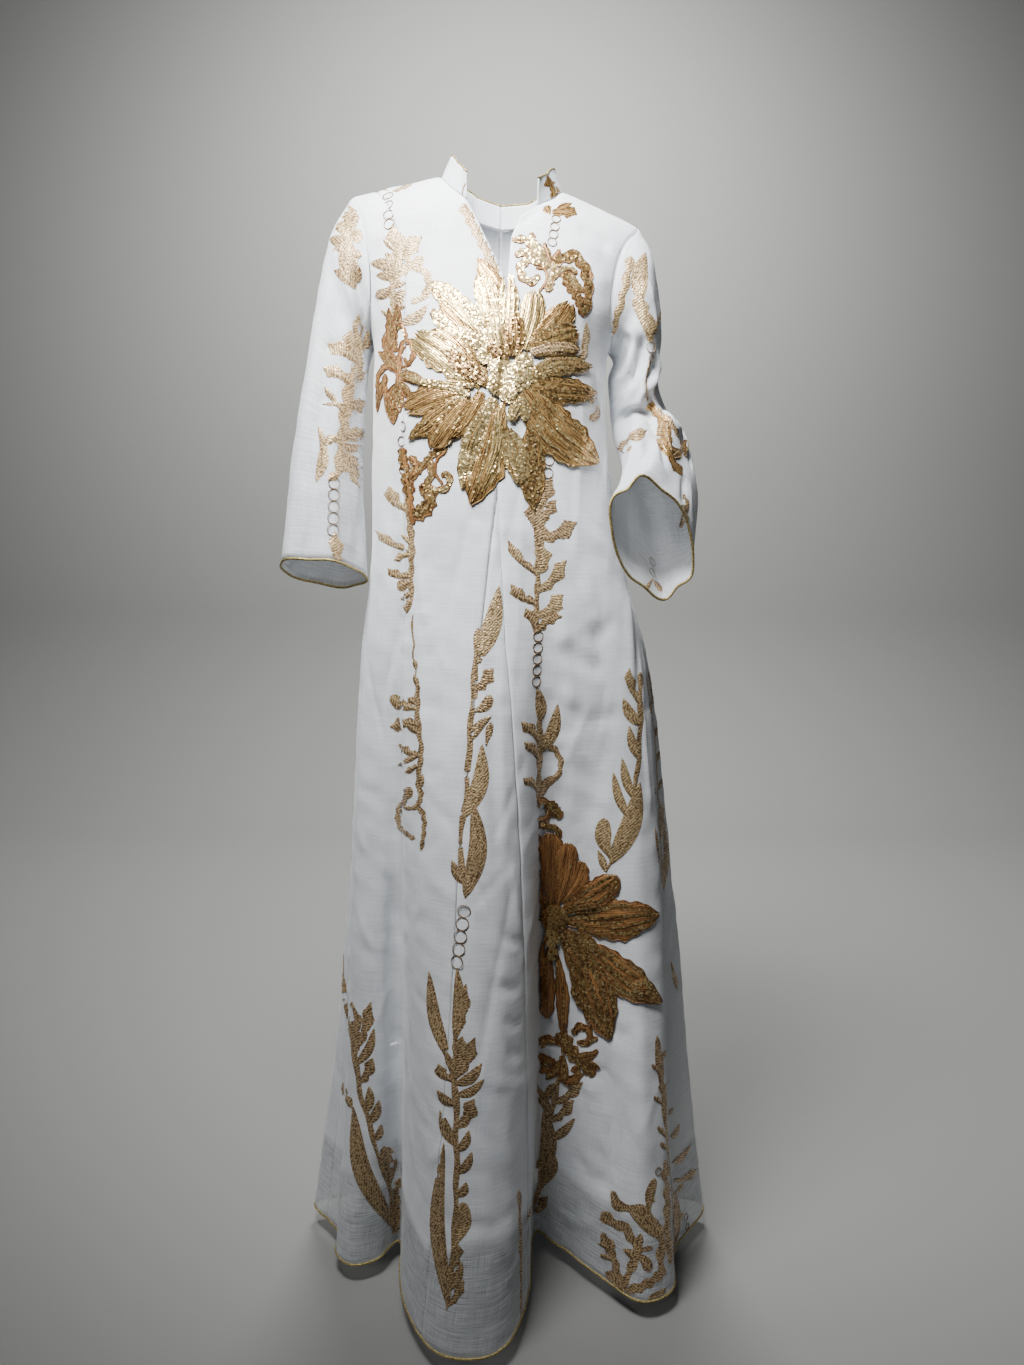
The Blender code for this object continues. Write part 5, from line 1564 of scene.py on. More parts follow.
# Columns: half width, thread, and the pixels that it runs through.
BODY_STEMS = (
    (3.4, CHAMPAGNE, (393, 276), (392, 295), (396, 322)),
    (4.6, CHAMPAGNE, (391, 292), (400, 273), (416, 267), (428, 278), (424, 296), (411, 303)),
    (3.0, TAN, (406, 470), (409, 515), (412, 562)),
    (3.4, TAN, (409, 516), (412, 545), (411, 575), (412, 602)),
    (1.1, TAN, (413, 614), (412, 628), (414, 644), (413, 657), (416, 668), (415, 682), (418, 694)),
    (3.0, TAN, (418, 684), (417, 706), (419, 730), (421, 748), (419, 768), (417, 788)),
    (3.0, TAN, (418, 784), (421, 796), (414, 808), (404, 808)),
    (3.6, TAN, (406, 796), (399, 810), (400, 826), (407, 834), (415, 839)),
    (2.8, TAN, (416, 804), (423, 814), (424, 830), (421, 851)),
    (3.6, TAN, (478, 628), (474, 690), (469, 750), (466, 800), (461, 832), (465, 898)),
    (3.4, TAN, (446, 1052), (454, 1080), (456, 1130), (456, 1200), (452, 1262), (447, 1310)),
    (2.6, TAN, (455, 1036), (455, 1080), (456, 1110)),
    (3.0, TAN, (346, 1006), (355, 1056), (359, 1086), (371, 1130), (378, 1156), (390, 1190), (393, 1234)),
    (3.4, TAN, (540, 500), (538, 560), (536, 634)), (3.2, TAN, (539, 690), (540, 740), (538, 800)),
    (3.4, TAN, (540, 744), (555, 750), (561, 764), (556, 778), (544, 786)),
    (3.2, TAN, (560, 1072), (552, 1110), (546, 1150), (536, 1200), (524, 1226)),
    (2.8, TAN, (640, 672), (640, 730), (636, 780), (622, 840), (606, 872)),
    (2.0, TAN, (646, 676), (655, 740), (658, 800), (664, 892)),
    (5.0, TAN, (612, 1191), (620, 1207), (640, 1209), (655, 1224), (662, 1242), (660, 1260), (664, 1274)),
    (5.4, TAN, (602, 1212), (611, 1222), (620, 1225), (632, 1238), (638, 1250), (632, 1266), (622, 1288)),
    (4.4, TAN, (602, 1233), (608, 1246), (614, 1260), (618, 1274), (621, 1286)),
    (5.6, TAN, (612, 1282), (624, 1291), (638, 1288), (652, 1281), (665, 1270)),
    (5.0, TAN, (666, 1160), (668, 1200), (668, 1236), (671, 1264)),
    (2.2, TAN, (657, 1036), (663, 1100), (670, 1170), (676, 1252)),
    (2.6, TAN, (519, 1190), (521, 1260), (521, 1340)), (3.0, TAN, (528, 486), (534, 512), (538, 540)),
)
# The raised scrolls: half width, share of sequins, their tone, and the pixels that they run through.
SCROLLS = (
    # upper right
    (4.4, 1.0, 0.84, (549, 268), (541, 258), (534, 249), (526, 240), (512, 240)),
    (4.0, 1.0, 0.86, (545, 257), (537, 247), (531, 240), (533, 233)),
    (4.4, 1.0, 0.84, (546, 262), (535, 256), (525, 252), (515, 256)),
    (4.6, 1.0, 0.84, (547, 266), (536, 260), (525, 261), (520, 269), (524, 279), (532, 282), (539, 275)),
    (1.2, 0.0, 0.30, (536, 268), (544, 269), (547, 279), (539, 292)),
    (4.2, 1.0, 0.88, (547, 292), (550, 282), (553, 273), (553, 260)),
    (2.6, 0.3, 0.30, (551, 262), (547, 251), (544, 243)),
    (2.2, 0.2, 0.30, (553, 262), (556, 255), (560, 250)),
    (5.6, 0.9, 0.45, (553, 263), (563, 258), (576, 257), (583, 266), (587, 280), (588, 296), (584, 314)),
    (2.6, 1.0, 0.90, (553, 279), (560, 271), (570, 268), (577, 274)),
    (5.4, 0.9, 0.45, (565, 272), (569, 284), (577, 296), (584, 316)),
    (3.0, 0.9, 0.80, (571, 275), (576, 284), (583, 292)),
    (2.0, 0.0, 0.30, (588, 284), (591, 277), (590, 272)),
    # left of the chest flower
    (3.6, 0.5, 0.34, (390, 350), (389, 332), (390, 312)),
    (2.6, 0.5, 0.34, (396, 352), (395, 338), (397, 324), (398, 310)),
    (2.2, 0.6, 0.40, (397, 330), (401, 325), (405, 332), (407, 342)),
    (3.0, 0.6, 0.40, (400, 354), (403, 345), (409, 341), (413, 347), (413, 357), (408, 364), (404, 358)),
    (2.4, 0.5, 0.34, (385, 336), (385, 346), (391, 354), (397, 366)),
    (3.2, 0.6, 0.40, (398, 372), (390, 366), (382, 370), (378, 380), (379, 394), (377, 408)),
    (3.2, 0.7, 0.42, (400, 354), (399, 366), (399, 380), (401, 394), (400, 410)),
    (2.6, 0.7, 0.42, (386, 374), (385, 386), (387, 400), (392, 412)),
    (2.4, 0.8, 0.55, (402, 366), (408, 373), (417, 377), (424, 384)),
    # below it
    (3.8, 0.9, 0.55, (447, 447), (436, 452), (426, 462), (417, 474)),
    (
        3.6, 0.9, 0.70, (430, 460), (432, 474), (428, 486), (436, 490), (446, 488), (450, 480), (446, 473),
        (442, 477),
    ),
    (1.2, 0.0, 0.30, (447, 450), (437, 460), (436, 474), (443, 484)),
    (5.4, 0.6, 0.32, (410, 494), (406, 474), (402, 448)),
    (4.8, 0.7, 0.36, (411, 480), (416, 464), (410, 456)),
    (7.4, 0.8, 0.40, (413, 516), (427, 508), (430, 494), (420, 485)),
    (3.6, 0.3, 0.30, (411, 480), (410, 500), (414, 524)),
    # above the skirt flower
    (3.0, 0.5, 0.38, (529, 796), (533, 826), (531, 862)),
    (2.6, 0.5, 0.38, (536, 800), (529, 826), (536, 850)),
    (3.2, 0.7, 0.42, (535, 812), (540, 801), (549, 804), (547, 817), (537, 820), (533, 812)),
    (6.2, 0.8, 0.46, (548, 802), (555, 811), (562, 817)),
    (3.2, 0.8, 0.50, (534, 824), (546, 826), (557, 829), (561, 837)),
    (2.6, 0.4, 0.40, (536, 828), (539, 842), (542, 856)),
    # below it
    (3.8, 0.8, 0.46, (531, 1042), (541, 1045), (548, 1038), (558, 1043)),
    (3.6, 0.6, 0.40, (532, 1047), (542, 1057), (556, 1062)),
    (4.0, 0.8, 0.46, (531, 1065), (544, 1070), (556, 1068), (564, 1056)),
    (7.4, 0.8, 0.46, (560, 1032), (570, 1050), (582, 1062), (595, 1075)),
    (3.6, 0.7, 0.20, (573, 1034), (580, 1026), (590, 1032), (588, 1042), (577, 1042)),
    (3.2, 0.7, 0.40, (586, 1060), (592, 1055), (598, 1050)),
    (5.0, 0.7, 0.36, (560, 1070), (568, 1081), (578, 1076), (574, 1066)),
    (3.0, 0.5, 0.40, (584, 1044), (592, 1040), (598, 1038)),
)
# Leaves among the scrolls, with corded edges. Columns: as for the other leaves.
SCROLL_LEAVES = {
    (LEAF, BROWN): (
        (390, 350, 389, 308, 5, 2), (397, 330, 398, 304, 4, 0), (400, 370, 379, 352, 6.5, 2),
        (394, 384, 394, 424, 8.5, 3), (383, 378, 378, 412, 4.5, 2), (401, 388, 400, 412, 4, 0),
        (398, 376, 427, 384, 6, -2), (392, 362, 386, 340, 4, -2), (556, 1056, 535, 1064, 5, 2),
        (560, 1060, 546, 1079, 5, -2), (564, 1060, 565, 1084, 5, 0), (556, 1050, 536, 1040, 4, 2),
        (568, 1052, 556, 1034, 4, 2), (578, 1056, 597, 1054, 4, 0), (580, 1062, 600, 1068, 4, 0),
    ),
    (LOBE, BROWN): (
        (404, 380, 410, 397, 5, 0),
    ),
}
BAND = (5.8, TAN, (463, 204), (472, 222), (481, 240), (490, 258), (498, 273))
# Columns: middle x and y of the first ring and of the last, how many, and their radius.
BODY_RINGS: Table = (
    (388, 196, 389, 224, 4, 5.4), (556, 219, 552, 242, 4, 4.4), (403, 426, 402, 441, 2, 4.6),
    (549, 460, 548, 473, 2, 5.0), (538, 636, 536, 681, 5, 5.2), (464, 911, 457, 962, 5, 6.4),
    (686, 1217, 688, 1237, 3, 4.2), (658, 1171, 658, 1171, 1, 4.0),
)
RIGHT_SLEEVE_LEAVES = {
    (TOOTHED, CHAMPAGNE): (
        (349, 236, 347, 197, 9, 2), (346, 242, 331, 215, 7, 2), (363, 352, 359, 314, 6, -2),
        (362, 362, 350, 330, 8, -2), (358, 364, 327, 343, 8, 3), (352, 386, 323, 367, 7, 3),
        (344, 462, 360, 490, 6, -4), (335, 572, 335, 532, 7, 2), (332, 570, 308, 562, 5, 2),
    ),
    (LOBE, TAN): (
        (350, 228, 358, 214, 5, 0), (346, 250, 362, 256, 5, 0), (350, 262, 359, 282, 6, -2),
        (350, 402, 370, 402, 9, 3),
    ),
    (LEAF, TAN): (
        (348, 243, 326, 238, 6, 0), (337, 238, 355, 289, 14, 5), (336, 402, 322, 404, 2, 0),
        (345, 436, 375, 424, 8, 3), (343, 452, 371, 494, 8, -4), (322, 462, 318, 426, 4, 3),
        (372, 408, 378, 390, 4, 0),
    ),
    (LOBE, CHAMPAGNE): (
        (347, 237, 363, 235, 8, 0),
    ),
    (LEAF, CHAMPAGNE): (
        (362, 352, 368, 330, 5, 2), (324, 444, 316, 482, 6, -3), (340, 474, 328, 480, 5, 0),
    ),
    (TOOTHED, TAN): (
        (356, 380, 369, 368, 5, 3), (343, 416, 324, 386, 3, 0), (345, 446, 375, 446, 7, 3),
    ),
}
RIGHT_SLEEVE_STEMS = (
    (7.0, CHAMPAGNE, (362, 346), (358, 366), (351, 386), (346, 410), (343, 436), (338, 476)),
    (3.6, TAN, (349, 214), (347, 232), (348, 258)), (5.0, CHAMPAGNE, (344, 440), (334, 438), (324, 444)),
)
RIGHT_SLEEVE_RINGS: Table = ((334, 483, 333, 530, 5, 5.8),)
LEFT_SLEEVE_LEAVES = {
    (LEAF, CHAMPAGNE): (
        (640, 302, 645, 252, 9, -4), (649, 338, 648, 312, 5, 2), (651, 336, 661, 305, 6, 4),
    ),
    (TOOTHED, CHAMPAGNE): (
        (648, 338, 640, 290, 8, -3),
    ),
    (LEAF, BRONZE): (
        (672, 466, 666, 414, 9, -5), (676, 462, 688, 438, 8, 4),
    ),
    (TOOTHED, BRONZE): (
        (668, 446, 690, 452, 7, 3), (668, 452, 682, 475, 6, 2),
    ),
    (TOOTHED, TAN): (
        (680, 528, 684, 494, 7, 3), (618, 456, 632, 446, 5, 2),
    ),
    (LEAF, TAN): (
        (628, 440, 647, 430, 6, 0),
    ),
    (LOBE, TAN): (
        (650, 578, 644, 592, 5, 0), (653, 578, 662, 592, 5, 0),
    ),
}
LEFT_SLEEVE_STEMS = (
    (4.2, CHAMPAGNE, (631, 256), (625, 286), (616, 320), (604, 354)),
    (4.0, CHAMPAGNE, (636, 286), (641, 304), (648, 326), (651, 342)),
    (1.2, TAN, (650, 360), (646, 384), (648, 402)),
    (4.6, BRONZE, (648, 404), (658, 414), (666, 432), (671, 458)),
    (3.6, TAN, (654, 410), (668, 420), (680, 440), (686, 458)),
    (5.0, TAN, (613, 470), (618, 452), (630, 438), (644, 430)),
    (1.6, TAN, (652, 566), (652, 584), (650, 592)),
)
LEFT_SLEEVE_RINGS: Table = (
    (651, 347, 651, 347, 1, 5.2), (651, 358, 651, 358, 1, 3.4), (652, 562, 652, 573, 2, 5.0),
)
COLLAR_LEAVES = {
    (TOOTHED, BRONZE): (
        (553, 206, 547, 176, 6, 3),
    ),
    (LEAF, BRONZE): (
        (558, 206, 556, 186, 4, 2),
    ),
}
COLLAR_STEMS = (
    (0.9, TAN, (471, 176), (471, 196)),
    (0.9, TAN, (468, 181), (464, 186), (464, 200), (467, 204)),
)


def rows_of(table: Leaves) -> Iterable[tuple[tuple[Cut, Thread], Row]]:
    """The rows of a table of leaves, each with its cut and thread."""
    return ((kind, row) for kind, rows in table.items() for row in rows)


def front_at(pixel_y: float) -> str:
    """The surface that a scroll lies on when it starts in a row of the photograph."""
    return "left_front" if pixel_y > SKIRT_PIXEL_Y else "body"


def across_line(line: Array) -> Array:
    """The way across a line of pixels at each of them."""
    way = unit(np.gradient(line, axis=0))
    return np.stack([way[:, 1], -way[:, 0]], axis=1)


def bowed(base: Array, tip: Array, bend: float, count: int) -> Array:
    """Pixels along a line from a base to a tip that bends aside in its middle."""
    way = unit(tip - base)
    middle = (base + tip) / 2 + np.array([-way[1], way[0]]) * bend
    return bent([base, middle, tip], count)


def half_widths(cut: Cut, along: Array, seed: float) -> tuple[Array, Array]:
    """How wide a leaf is on each side, as shares of its half width.

    Args:
        cut: its shape.
        along: places from its base at 0 to its tip at 1.
        seed: where its lobes start.

    Returns:
        The shares on its left and on its right.
    """
    if cut is STEM:
        even = (1.0 - 0.3 * along) * np.minimum(1.0, np.sqrt(np.minimum(along, 1 - along) / 0.04 + 0.05))
        left, right = (np.sin(along * pace + seed) for pace in (37.0, 29.0))
        return even * (1 + 0.28 * left), even * (1 + 0.28 * right)
    if cut is LOBE:
        body = np.sqrt(np.clip(1 - along**5, 0, 1)) * (0.25 + 0.75 * smooth_step(along * 1.5))
        return body, body * 0.92
    body = np.sin(np.pi * np.clip(along, 0, 1) ** 0.85) ** 0.8
    if cut is LEAF:
        return body, body * 0.85
    first = np.interp(along, (0.0, 0.35, 0.80, 0.90, 1.0), (0.34, 0.50, 1.15, 0.50, 0.05))
    second = np.interp(along, (0.0, 0.30, 0.42, 0.66, 0.78, 1.0), (0.34, 0.95, 0.45, 1.05, 0.50, 0.05))
    ruffle = 0.08 * np.sin(along * 61.0 + seed)
    left, right = (first, second) if int(seed * 2) % 2 else (second, first)
    return left + ruffle, right - ruffle


@dataclass
class Strip:
    """A strip of applique on the cloth: its points, rows along it by columns across it."""

    points: Array
    normals: Array
    found: Array  # whether each point lies on the cloth
    along: Array  # metres from its base
    across: Array  # metres from its middle

    def domed(self, edge: float, rise: float) -> Array:
        """How far its points stand off the cloth, when its middle is higher than its edges."""
        share = np.linspace(-1, 1, self.found.shape[1])
        return np.broadcast_to(edge + rise * (1 - share**2), self.found.shape)


@dataclass
class Needlework:
    """Lays appliques on a surface of the dress and joins them into one mesh for each thread."""

    name: str
    sight: Sight
    finishes: Finishes
    strip_columns: int = 5
    stem_pixels: float = 2.2  # from row to row of a stem's points
    stem_lift: float = 0.0002  # of its edges off the cloth
    leaf_pixels: float = 2.0
    leaf_margin: float = 0.2  # pixels added on each side, so that its ends aren't too fine
    leaf_lift: float = 0.0003
    leaf_rise: float = 0.0006  # of its middle over its edges
    facing_gain: float = 2.2  # a strip is narrower where the cosine of the cloth's turn is below 1 over this
    least_width: float = 0.2  # the share of its width that it keeps there
    joining: float = 12.0  # pixels within which a leaf grows from the nearest stem
    long_leaf: float = 5.0  # half width in pixels above which the stitches run along a leaf
    veined_leaf: float = 6.0  # half width above which it has veins
    veins: Row = (-0.40, 0.35)  # where they lie, as shares of its half width
    vein_half: float = 0.75
    vein_lift: float = 0.0011
    petal_pixels: float = 1.6
    petal_columns: int = 15
    petal_lift: float = 0.0004
    petal_dome: float = 0.0020
    petal_ridge: float = 0.00045
    cord_lift: float = 0.0007
    cluster_ground: float = 0.96  # as a share of a cluster's radius
    cluster_dome: float = 0.0016
    cluster_crowding: float = 1.35  # sequins for the square of its radius in pixels
    sequin_lift: float = 0.00025  # off the petal under them
    sequin_row: float = 1.8  # pixels from row to row
    sequin_step: float = 0.0019  # along a row
    sequin_margin: float = 0.002  # free of sequins at each end of a row
    painted_glint_share: float = 0.12  # of the sequins, those given the lightest tone as painted glints, where light would catch them
    meshes: dict[Thread, list[tuple[Array, Array, Array]]] = field(default_factory=dict)
    edges: list[Array] = field(default_factory=list)
    spines: list[Array] = field(default_factory=list)
    sequins: list[tuple[Array, Array, Array, Array]] = field(default_factory=list)

    def strip(self, spine: Array, left: Array, right: Array, columns: int, surface: str) -> Strip:
        """Finds a strip on the cloth.

        Args:
            spine: pixels along its middle.
            left: its width to the left of each, in pixels.
            right: its width to the right of each.
            columns: how many points go across it.
            surface: the group of surfaces that it lies on.

        Returns:
            The strip.
        """
        share = np.linspace(-1, 1, columns)[None, :]
        spots, facings, _ = self.sight.cast(spine[:, None], surface)
        ways = unit(spots - np.array(self.sight.place))
        turned = -self.facing_gain * np.sum(facings * ways, axis=-1)
        widths = np.where(share < 0, left[:, None], right[:, None])
        reach = widths * share * np.clip(turned, self.least_width, 1.0)
        pixels = spine[:, None] + across_line(spine)[:, None] * reach[..., None]
        points, normals, found = self.sight.cast(pixels, surface)
        run = np.broadcast_to(run_along(spine)[:, None] * METRES_PER_PIXEL, reach.shape)
        return Strip(points, normals, found, run, reach * METRES_PER_PIXEL)

    def lay(self, strip: Strip, thread: Thread, lift: Array) -> None:
        """Adds a strip's faces to the thread's mesh, each point lifted off the cloth."""
        columns = strip.found.shape[1]
        points = strip.points + strip.normals * lift[..., None]
        corners = quads(*strip.found.shape)
        seen = np.all([strip.found[corner] for corner in corners], axis=0)
        sides = [points[a] - points[b] for a, b in zip(corners, corners[1:] + corners[:1])]
        whole = seen & (np.linalg.norm(sides, axis=-1).max(axis=0) < TORN)
        faces = np.stack([r * columns + c for r, c in corners], axis=1)[whole]
        if not len(faces):
            return
        if faces_away(points, strip.normals):
            faces = faces[:, ::-1]
        uv = np.stack([strip.across, strip.along], axis=-1).reshape(-1, 2)
        self.meshes.setdefault(thread, []).append((points.reshape(-1, 3), faces, uv[faces]))

    def leaves(self, table: Leaves, surface: str) -> None:
        """Adds the leaves of a table."""
        for (cut, thread), row in rows_of(table):
            self.leaf(row, cut, thread, surface)

    def leaf(self, row: Row, cut: Cut, thread: Thread, surface: str) -> Strip:
        """Adds a leaf from a row of a table."""
        x0, y0, x1, y1, half, bend = row
        base, tip = np.array([x0, y0], float), np.array([x1, y1], float)
        if self.spines:
            stems = np.concatenate(self.spines)
            away = np.linalg.norm(stems - base, axis=1)
            base = stems[away.argmin()] if away.min() < self.joining else base
        count = int(np.clip(np.linalg.norm(tip - base) / self.leaf_pixels, 8, 60))
        spine = bowed(base, tip, bend, count)
        left, right = half_widths(cut, np.linspace(0, 1, count), (x0 * 7 + y0 * 3) % 6)
        widths = (left * half + self.leaf_margin, right * half + self.leaf_margin)
        strip = self.strip(spine, *widths, self.strip_columns, surface)
        is_turned = cut is LEAF and half > self.long_leaf
        stitched = replace(strip, along=strip.across, across=strip.along) if is_turned else strip
        self.lay(stitched, thread, strip.domed(self.leaf_lift, self.leaf_rise))
        if cut is LEAF and half > self.veined_leaf and thread is not BROWN:
            ends = slice(count // 7, -count // 7)
            for reach in self.veins:
                line = (spine + across_line(spine) * (left * half * reach)[:, None])[ends]
                width = np.full(len(line), self.vein_half)
                vein = self.strip(line, width, width, 3, surface)
                self.lay(vein, CHAMPAGNE, vein.domed(self.vein_lift, 0.0))
        return strip

    def stem(
        self, half: float, thread: Thread, pixels: Sequence, surface: str, rise: float = 0.0005
    ) -> Strip:
        """Adds a stem through some pixels."""
        length = run_along(np.array(pixels, float))[-1]
        count = int(np.clip(length / self.stem_pixels, 8, 120))
        spine = bent(pixels, count)
        self.spines.append(spine)
        left, right = half_widths(STEM, np.linspace(0, 1, count), length % 6)
        strip = self.strip(spine, left * half, right * half, self.strip_columns, surface)
        self.lay(strip, thread, strip.domed(self.stem_lift, rise))
        return strip

    def edge_of(self, strip: Strip, lift: float) -> None:
        """Adds a couched cord along both edges of a strip."""
        for column in (0, -1):
            found = strip.found[:, column]
            line = (strip.points + strip.normals * lift)[:, column][found]
            if len(line) > 3:
                breaks = np.flatnonzero(np.linalg.norm(np.diff(line, axis=0), axis=1) > TORN) + 1
                self.edges += [part for part in np.split(line, breaks) if len(part) > 3]

    def petal(self, row: tuple, surface: str) -> None:
        """Adds a petal with its ridges, its ragged tip, its rows of sequins and its corded edge."""
        x0, y0, x1, y1, half, bend, blunt, layer, cover, tone, thread = row
        base, tip = np.array([x0, y0], float), np.array([x1, y1], float)
        length = np.linalg.norm(tip - base)
        spine = bowed(base, tip, bend, 60)
        t = np.linspace(0, 1, int(length / self.petal_pixels) + 4)[:, None]
        share = np.linspace(-1, 1, self.petal_columns)[None, :]
        seed = (x1 * 5 + y1 * 3) % 7
        ragged = 0.03 if thread is BROWN else 0.06 + 0.10 * blunt
        fingers = 1 - ragged * (0.5 + 0.5 * np.cos(share * 8.5 + seed)) * np.abs(share) ** 0.5
        place = t * fingers
        foot = (0.14, 0.48) if thread is BROWN else (0.40, 0.74)
        end = (0.74 + 0.22 * blunt, 0.34 + 0.42 * blunt, 0.03 + 0.30 * blunt)
        shape = curve_through(PETAL_PLACES, [*foot, 1.0, *end], t)
        wave = 1 + 0.06 * np.sin(t * 19 + seed + share) + 0.05 * np.sin(t * 47 + seed * 3 - share)
        reach = half * shape * wave * share
        knots = np.linspace(0, 1, len(spine))
        middle, aside = (
            np.stack([np.interp(place, knots, line[:, k]) for k in (0, 1)], axis=-1)
            for line in (spine, across_line(spine))
        )
        hits = self.sight.cast(middle + aside * reach[..., None], surface)
        strip = Strip(*hits, place * length * METRES_PER_PIXEL, reach * METRES_PER_PIXEL)
        dome = self.petal_dome * np.sqrt(np.clip(1 - share**2, 0, 1)) * (0.35 + 0.65 * shape)
        ridges = self.petal_ridge * np.cos(share * 12.0 + seed) * np.clip(t * 3, 0, 1)
        lift = self.petal_lift + LAYER * layer + dome + ridges * (1 - share**4)
        self.lay(strip, thread, lift)
        self.edge_of(strip, self.cord_lift + LAYER * layer)
        self.rows_of_sequins(strip, lift + self.sequin_lift, half, cover, tone, seed)

    def rows_of_sequins(
        self, strip: Strip, lift: Array, half: float, cover: float, tone: float, seed: float
    ) -> None:
        """Adds rows of sequins along a strip.

        Args:
            strip: the strip.
            lift: how far each of its points stands off the cloth.
            half: its half width in pixels.
            cover: what share of it carries sequins.
            tone: their mean tone, from dark at 0 to light at 1.
            seed: where the bare stretches lie.
        """
        rows, columns = strip.found.shape
        grid = strip.points + strip.normals * lift[..., None]
        width = np.linalg.norm(grid[:, -1] - grid[:, 0], axis=1)
        run = strip.along[:, 0]
        steps = np.arange(self.sequin_margin, run[-1] - self.sequin_margin, self.sequin_step)
        i = np.searchsorted(run, steps).clip(1, rows - 1)
        mix = ((steps - run[i - 1]) / np.maximum(run[i] - run[i - 1], 1e-9))[:, None]
        lines = max(2, int(round(2 * half / self.sequin_row)))
        chance = np.random.default_rng(int(seed * 1000) + rows)
        for k in range(lines):
            place = (k + 0.5) / lines * (columns - 1)
            c, part = int(place), place - int(place)
            line = grid[:, c] * (1 - part) + grid[:, c + 1] * part
            seen = strip.found[:, c] & strip.found[:, c + 1]
            spots = line[i - 1] * (1 - mix) + line[i] * mix
            narrow = width[i] < (k % 3) * 0.30 * width.max()
            line_wave = math.sin(k * 2.1 + seed) * 0.5 + 0.5
            wave = np.sin(steps * 55 + k * 1.3 + seed) * 0.5 + 0.5
            bare = line_wave * 0.5 + wave * 0.4 + chance.random(len(steps)) * 0.1 > cover * 1.05
            keep = seen[i] & seen[i - 1] & ~narrow & ~bare
            keep &= np.linalg.norm(line[i] - line[i - 1], axis=1) < TORN
            tones = np.clip(tone + chance.normal(0, 0.22, len(steps)), 0, 1)
            # painted glints: a share of the sequins take the lightest tone, standing in for light caught on
            # them
            tones[chance.random(len(steps)) < self.painted_glint_share] = 1.0
            sizes = chance.uniform(0.85, 1.1, keep.sum())
            self.sequins.append((spots[keep], strip.normals[:, c][i][keep], tones[keep], sizes))

    def scatter(self, place: Row, surface: str, thread: Thread) -> None:
        """Adds a round cluster of sequins on a ground of thread, from a row of a table."""
        x, y, radius, layer, cover, tone = place
        across, share = np.linspace(-1, 1, 14), np.linspace(-1, 1, 11)[None, :]
        ground = radius * self.cluster_ground
        width = ground * np.sqrt(np.clip(1 - across**2, 0.01, 1))
        spine = np.stack([x + across * ground, np.full(len(across), float(y))], axis=1)
        strip = self.strip(spine, width, width, share.size, surface)
        dome = self.cluster_dome * (1 - across[:, None] ** 2) * (1 - share**2)
        self.lay(strip, thread, 0.0006 + LAYER * layer + dome)
        chance = np.random.default_rng(int(x + y))
        count = int(radius**2 * self.cluster_crowding * cover)
        reach = radius * np.sqrt(chance.random(count))
        turn = chance.random(count) * 2 * math.pi
        pixels = np.stack([x + reach * np.cos(turn), y + reach * np.sin(turn)], axis=1)
        points, normals, found = self.sight.cast(pixels, surface)
        lift = 0.0010 + LAYER * layer + 0.0020 * (1 - (reach / radius) ** 2)
        points = points + normals * lift[:, None]
        tones = np.clip(tone + chance.normal(0, 0.14, count), 0, 1)
        sizes = chance.uniform(0.9, 1.2, count)
        self.sequins.append((points[found], normals[found], tones[found], sizes[found]))

    def threads(self, slot: str, stands_for: dict[Thread, tuple[str, ...]]) -> list[bpy.types.Object]:
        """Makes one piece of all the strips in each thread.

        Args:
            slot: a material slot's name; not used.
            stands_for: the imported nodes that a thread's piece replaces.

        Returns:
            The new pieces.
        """
        made = []
        for thread, parts in self.meshes.items():
            start, points, faces, uvs = 0, [], [], []
            for spots, corners, uv in parts:
                points.append(spots)
                faces.append(corners + start)
                uvs.append(uv)
                start += len(spots)
            points, faces = np.concatenate(points), np.concatenate(faces)
            used, renumbered = np.unique(faces, return_inverse=True)
            name = f"{self.name}_{thread.name.lower()}"
            mesh = mesh_of(name, points[used], renumbered.reshape(faces.shape), np.concatenate(uvs))
            obj = linked(name, mesh, self.finishes.threads[thread])
            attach(obj, "root")
            if stands_for.get(thread):
                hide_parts(*stands_for[thread])
            made.append(obj)
            log.info("%s: %d faces", name, len(faces))
        return made


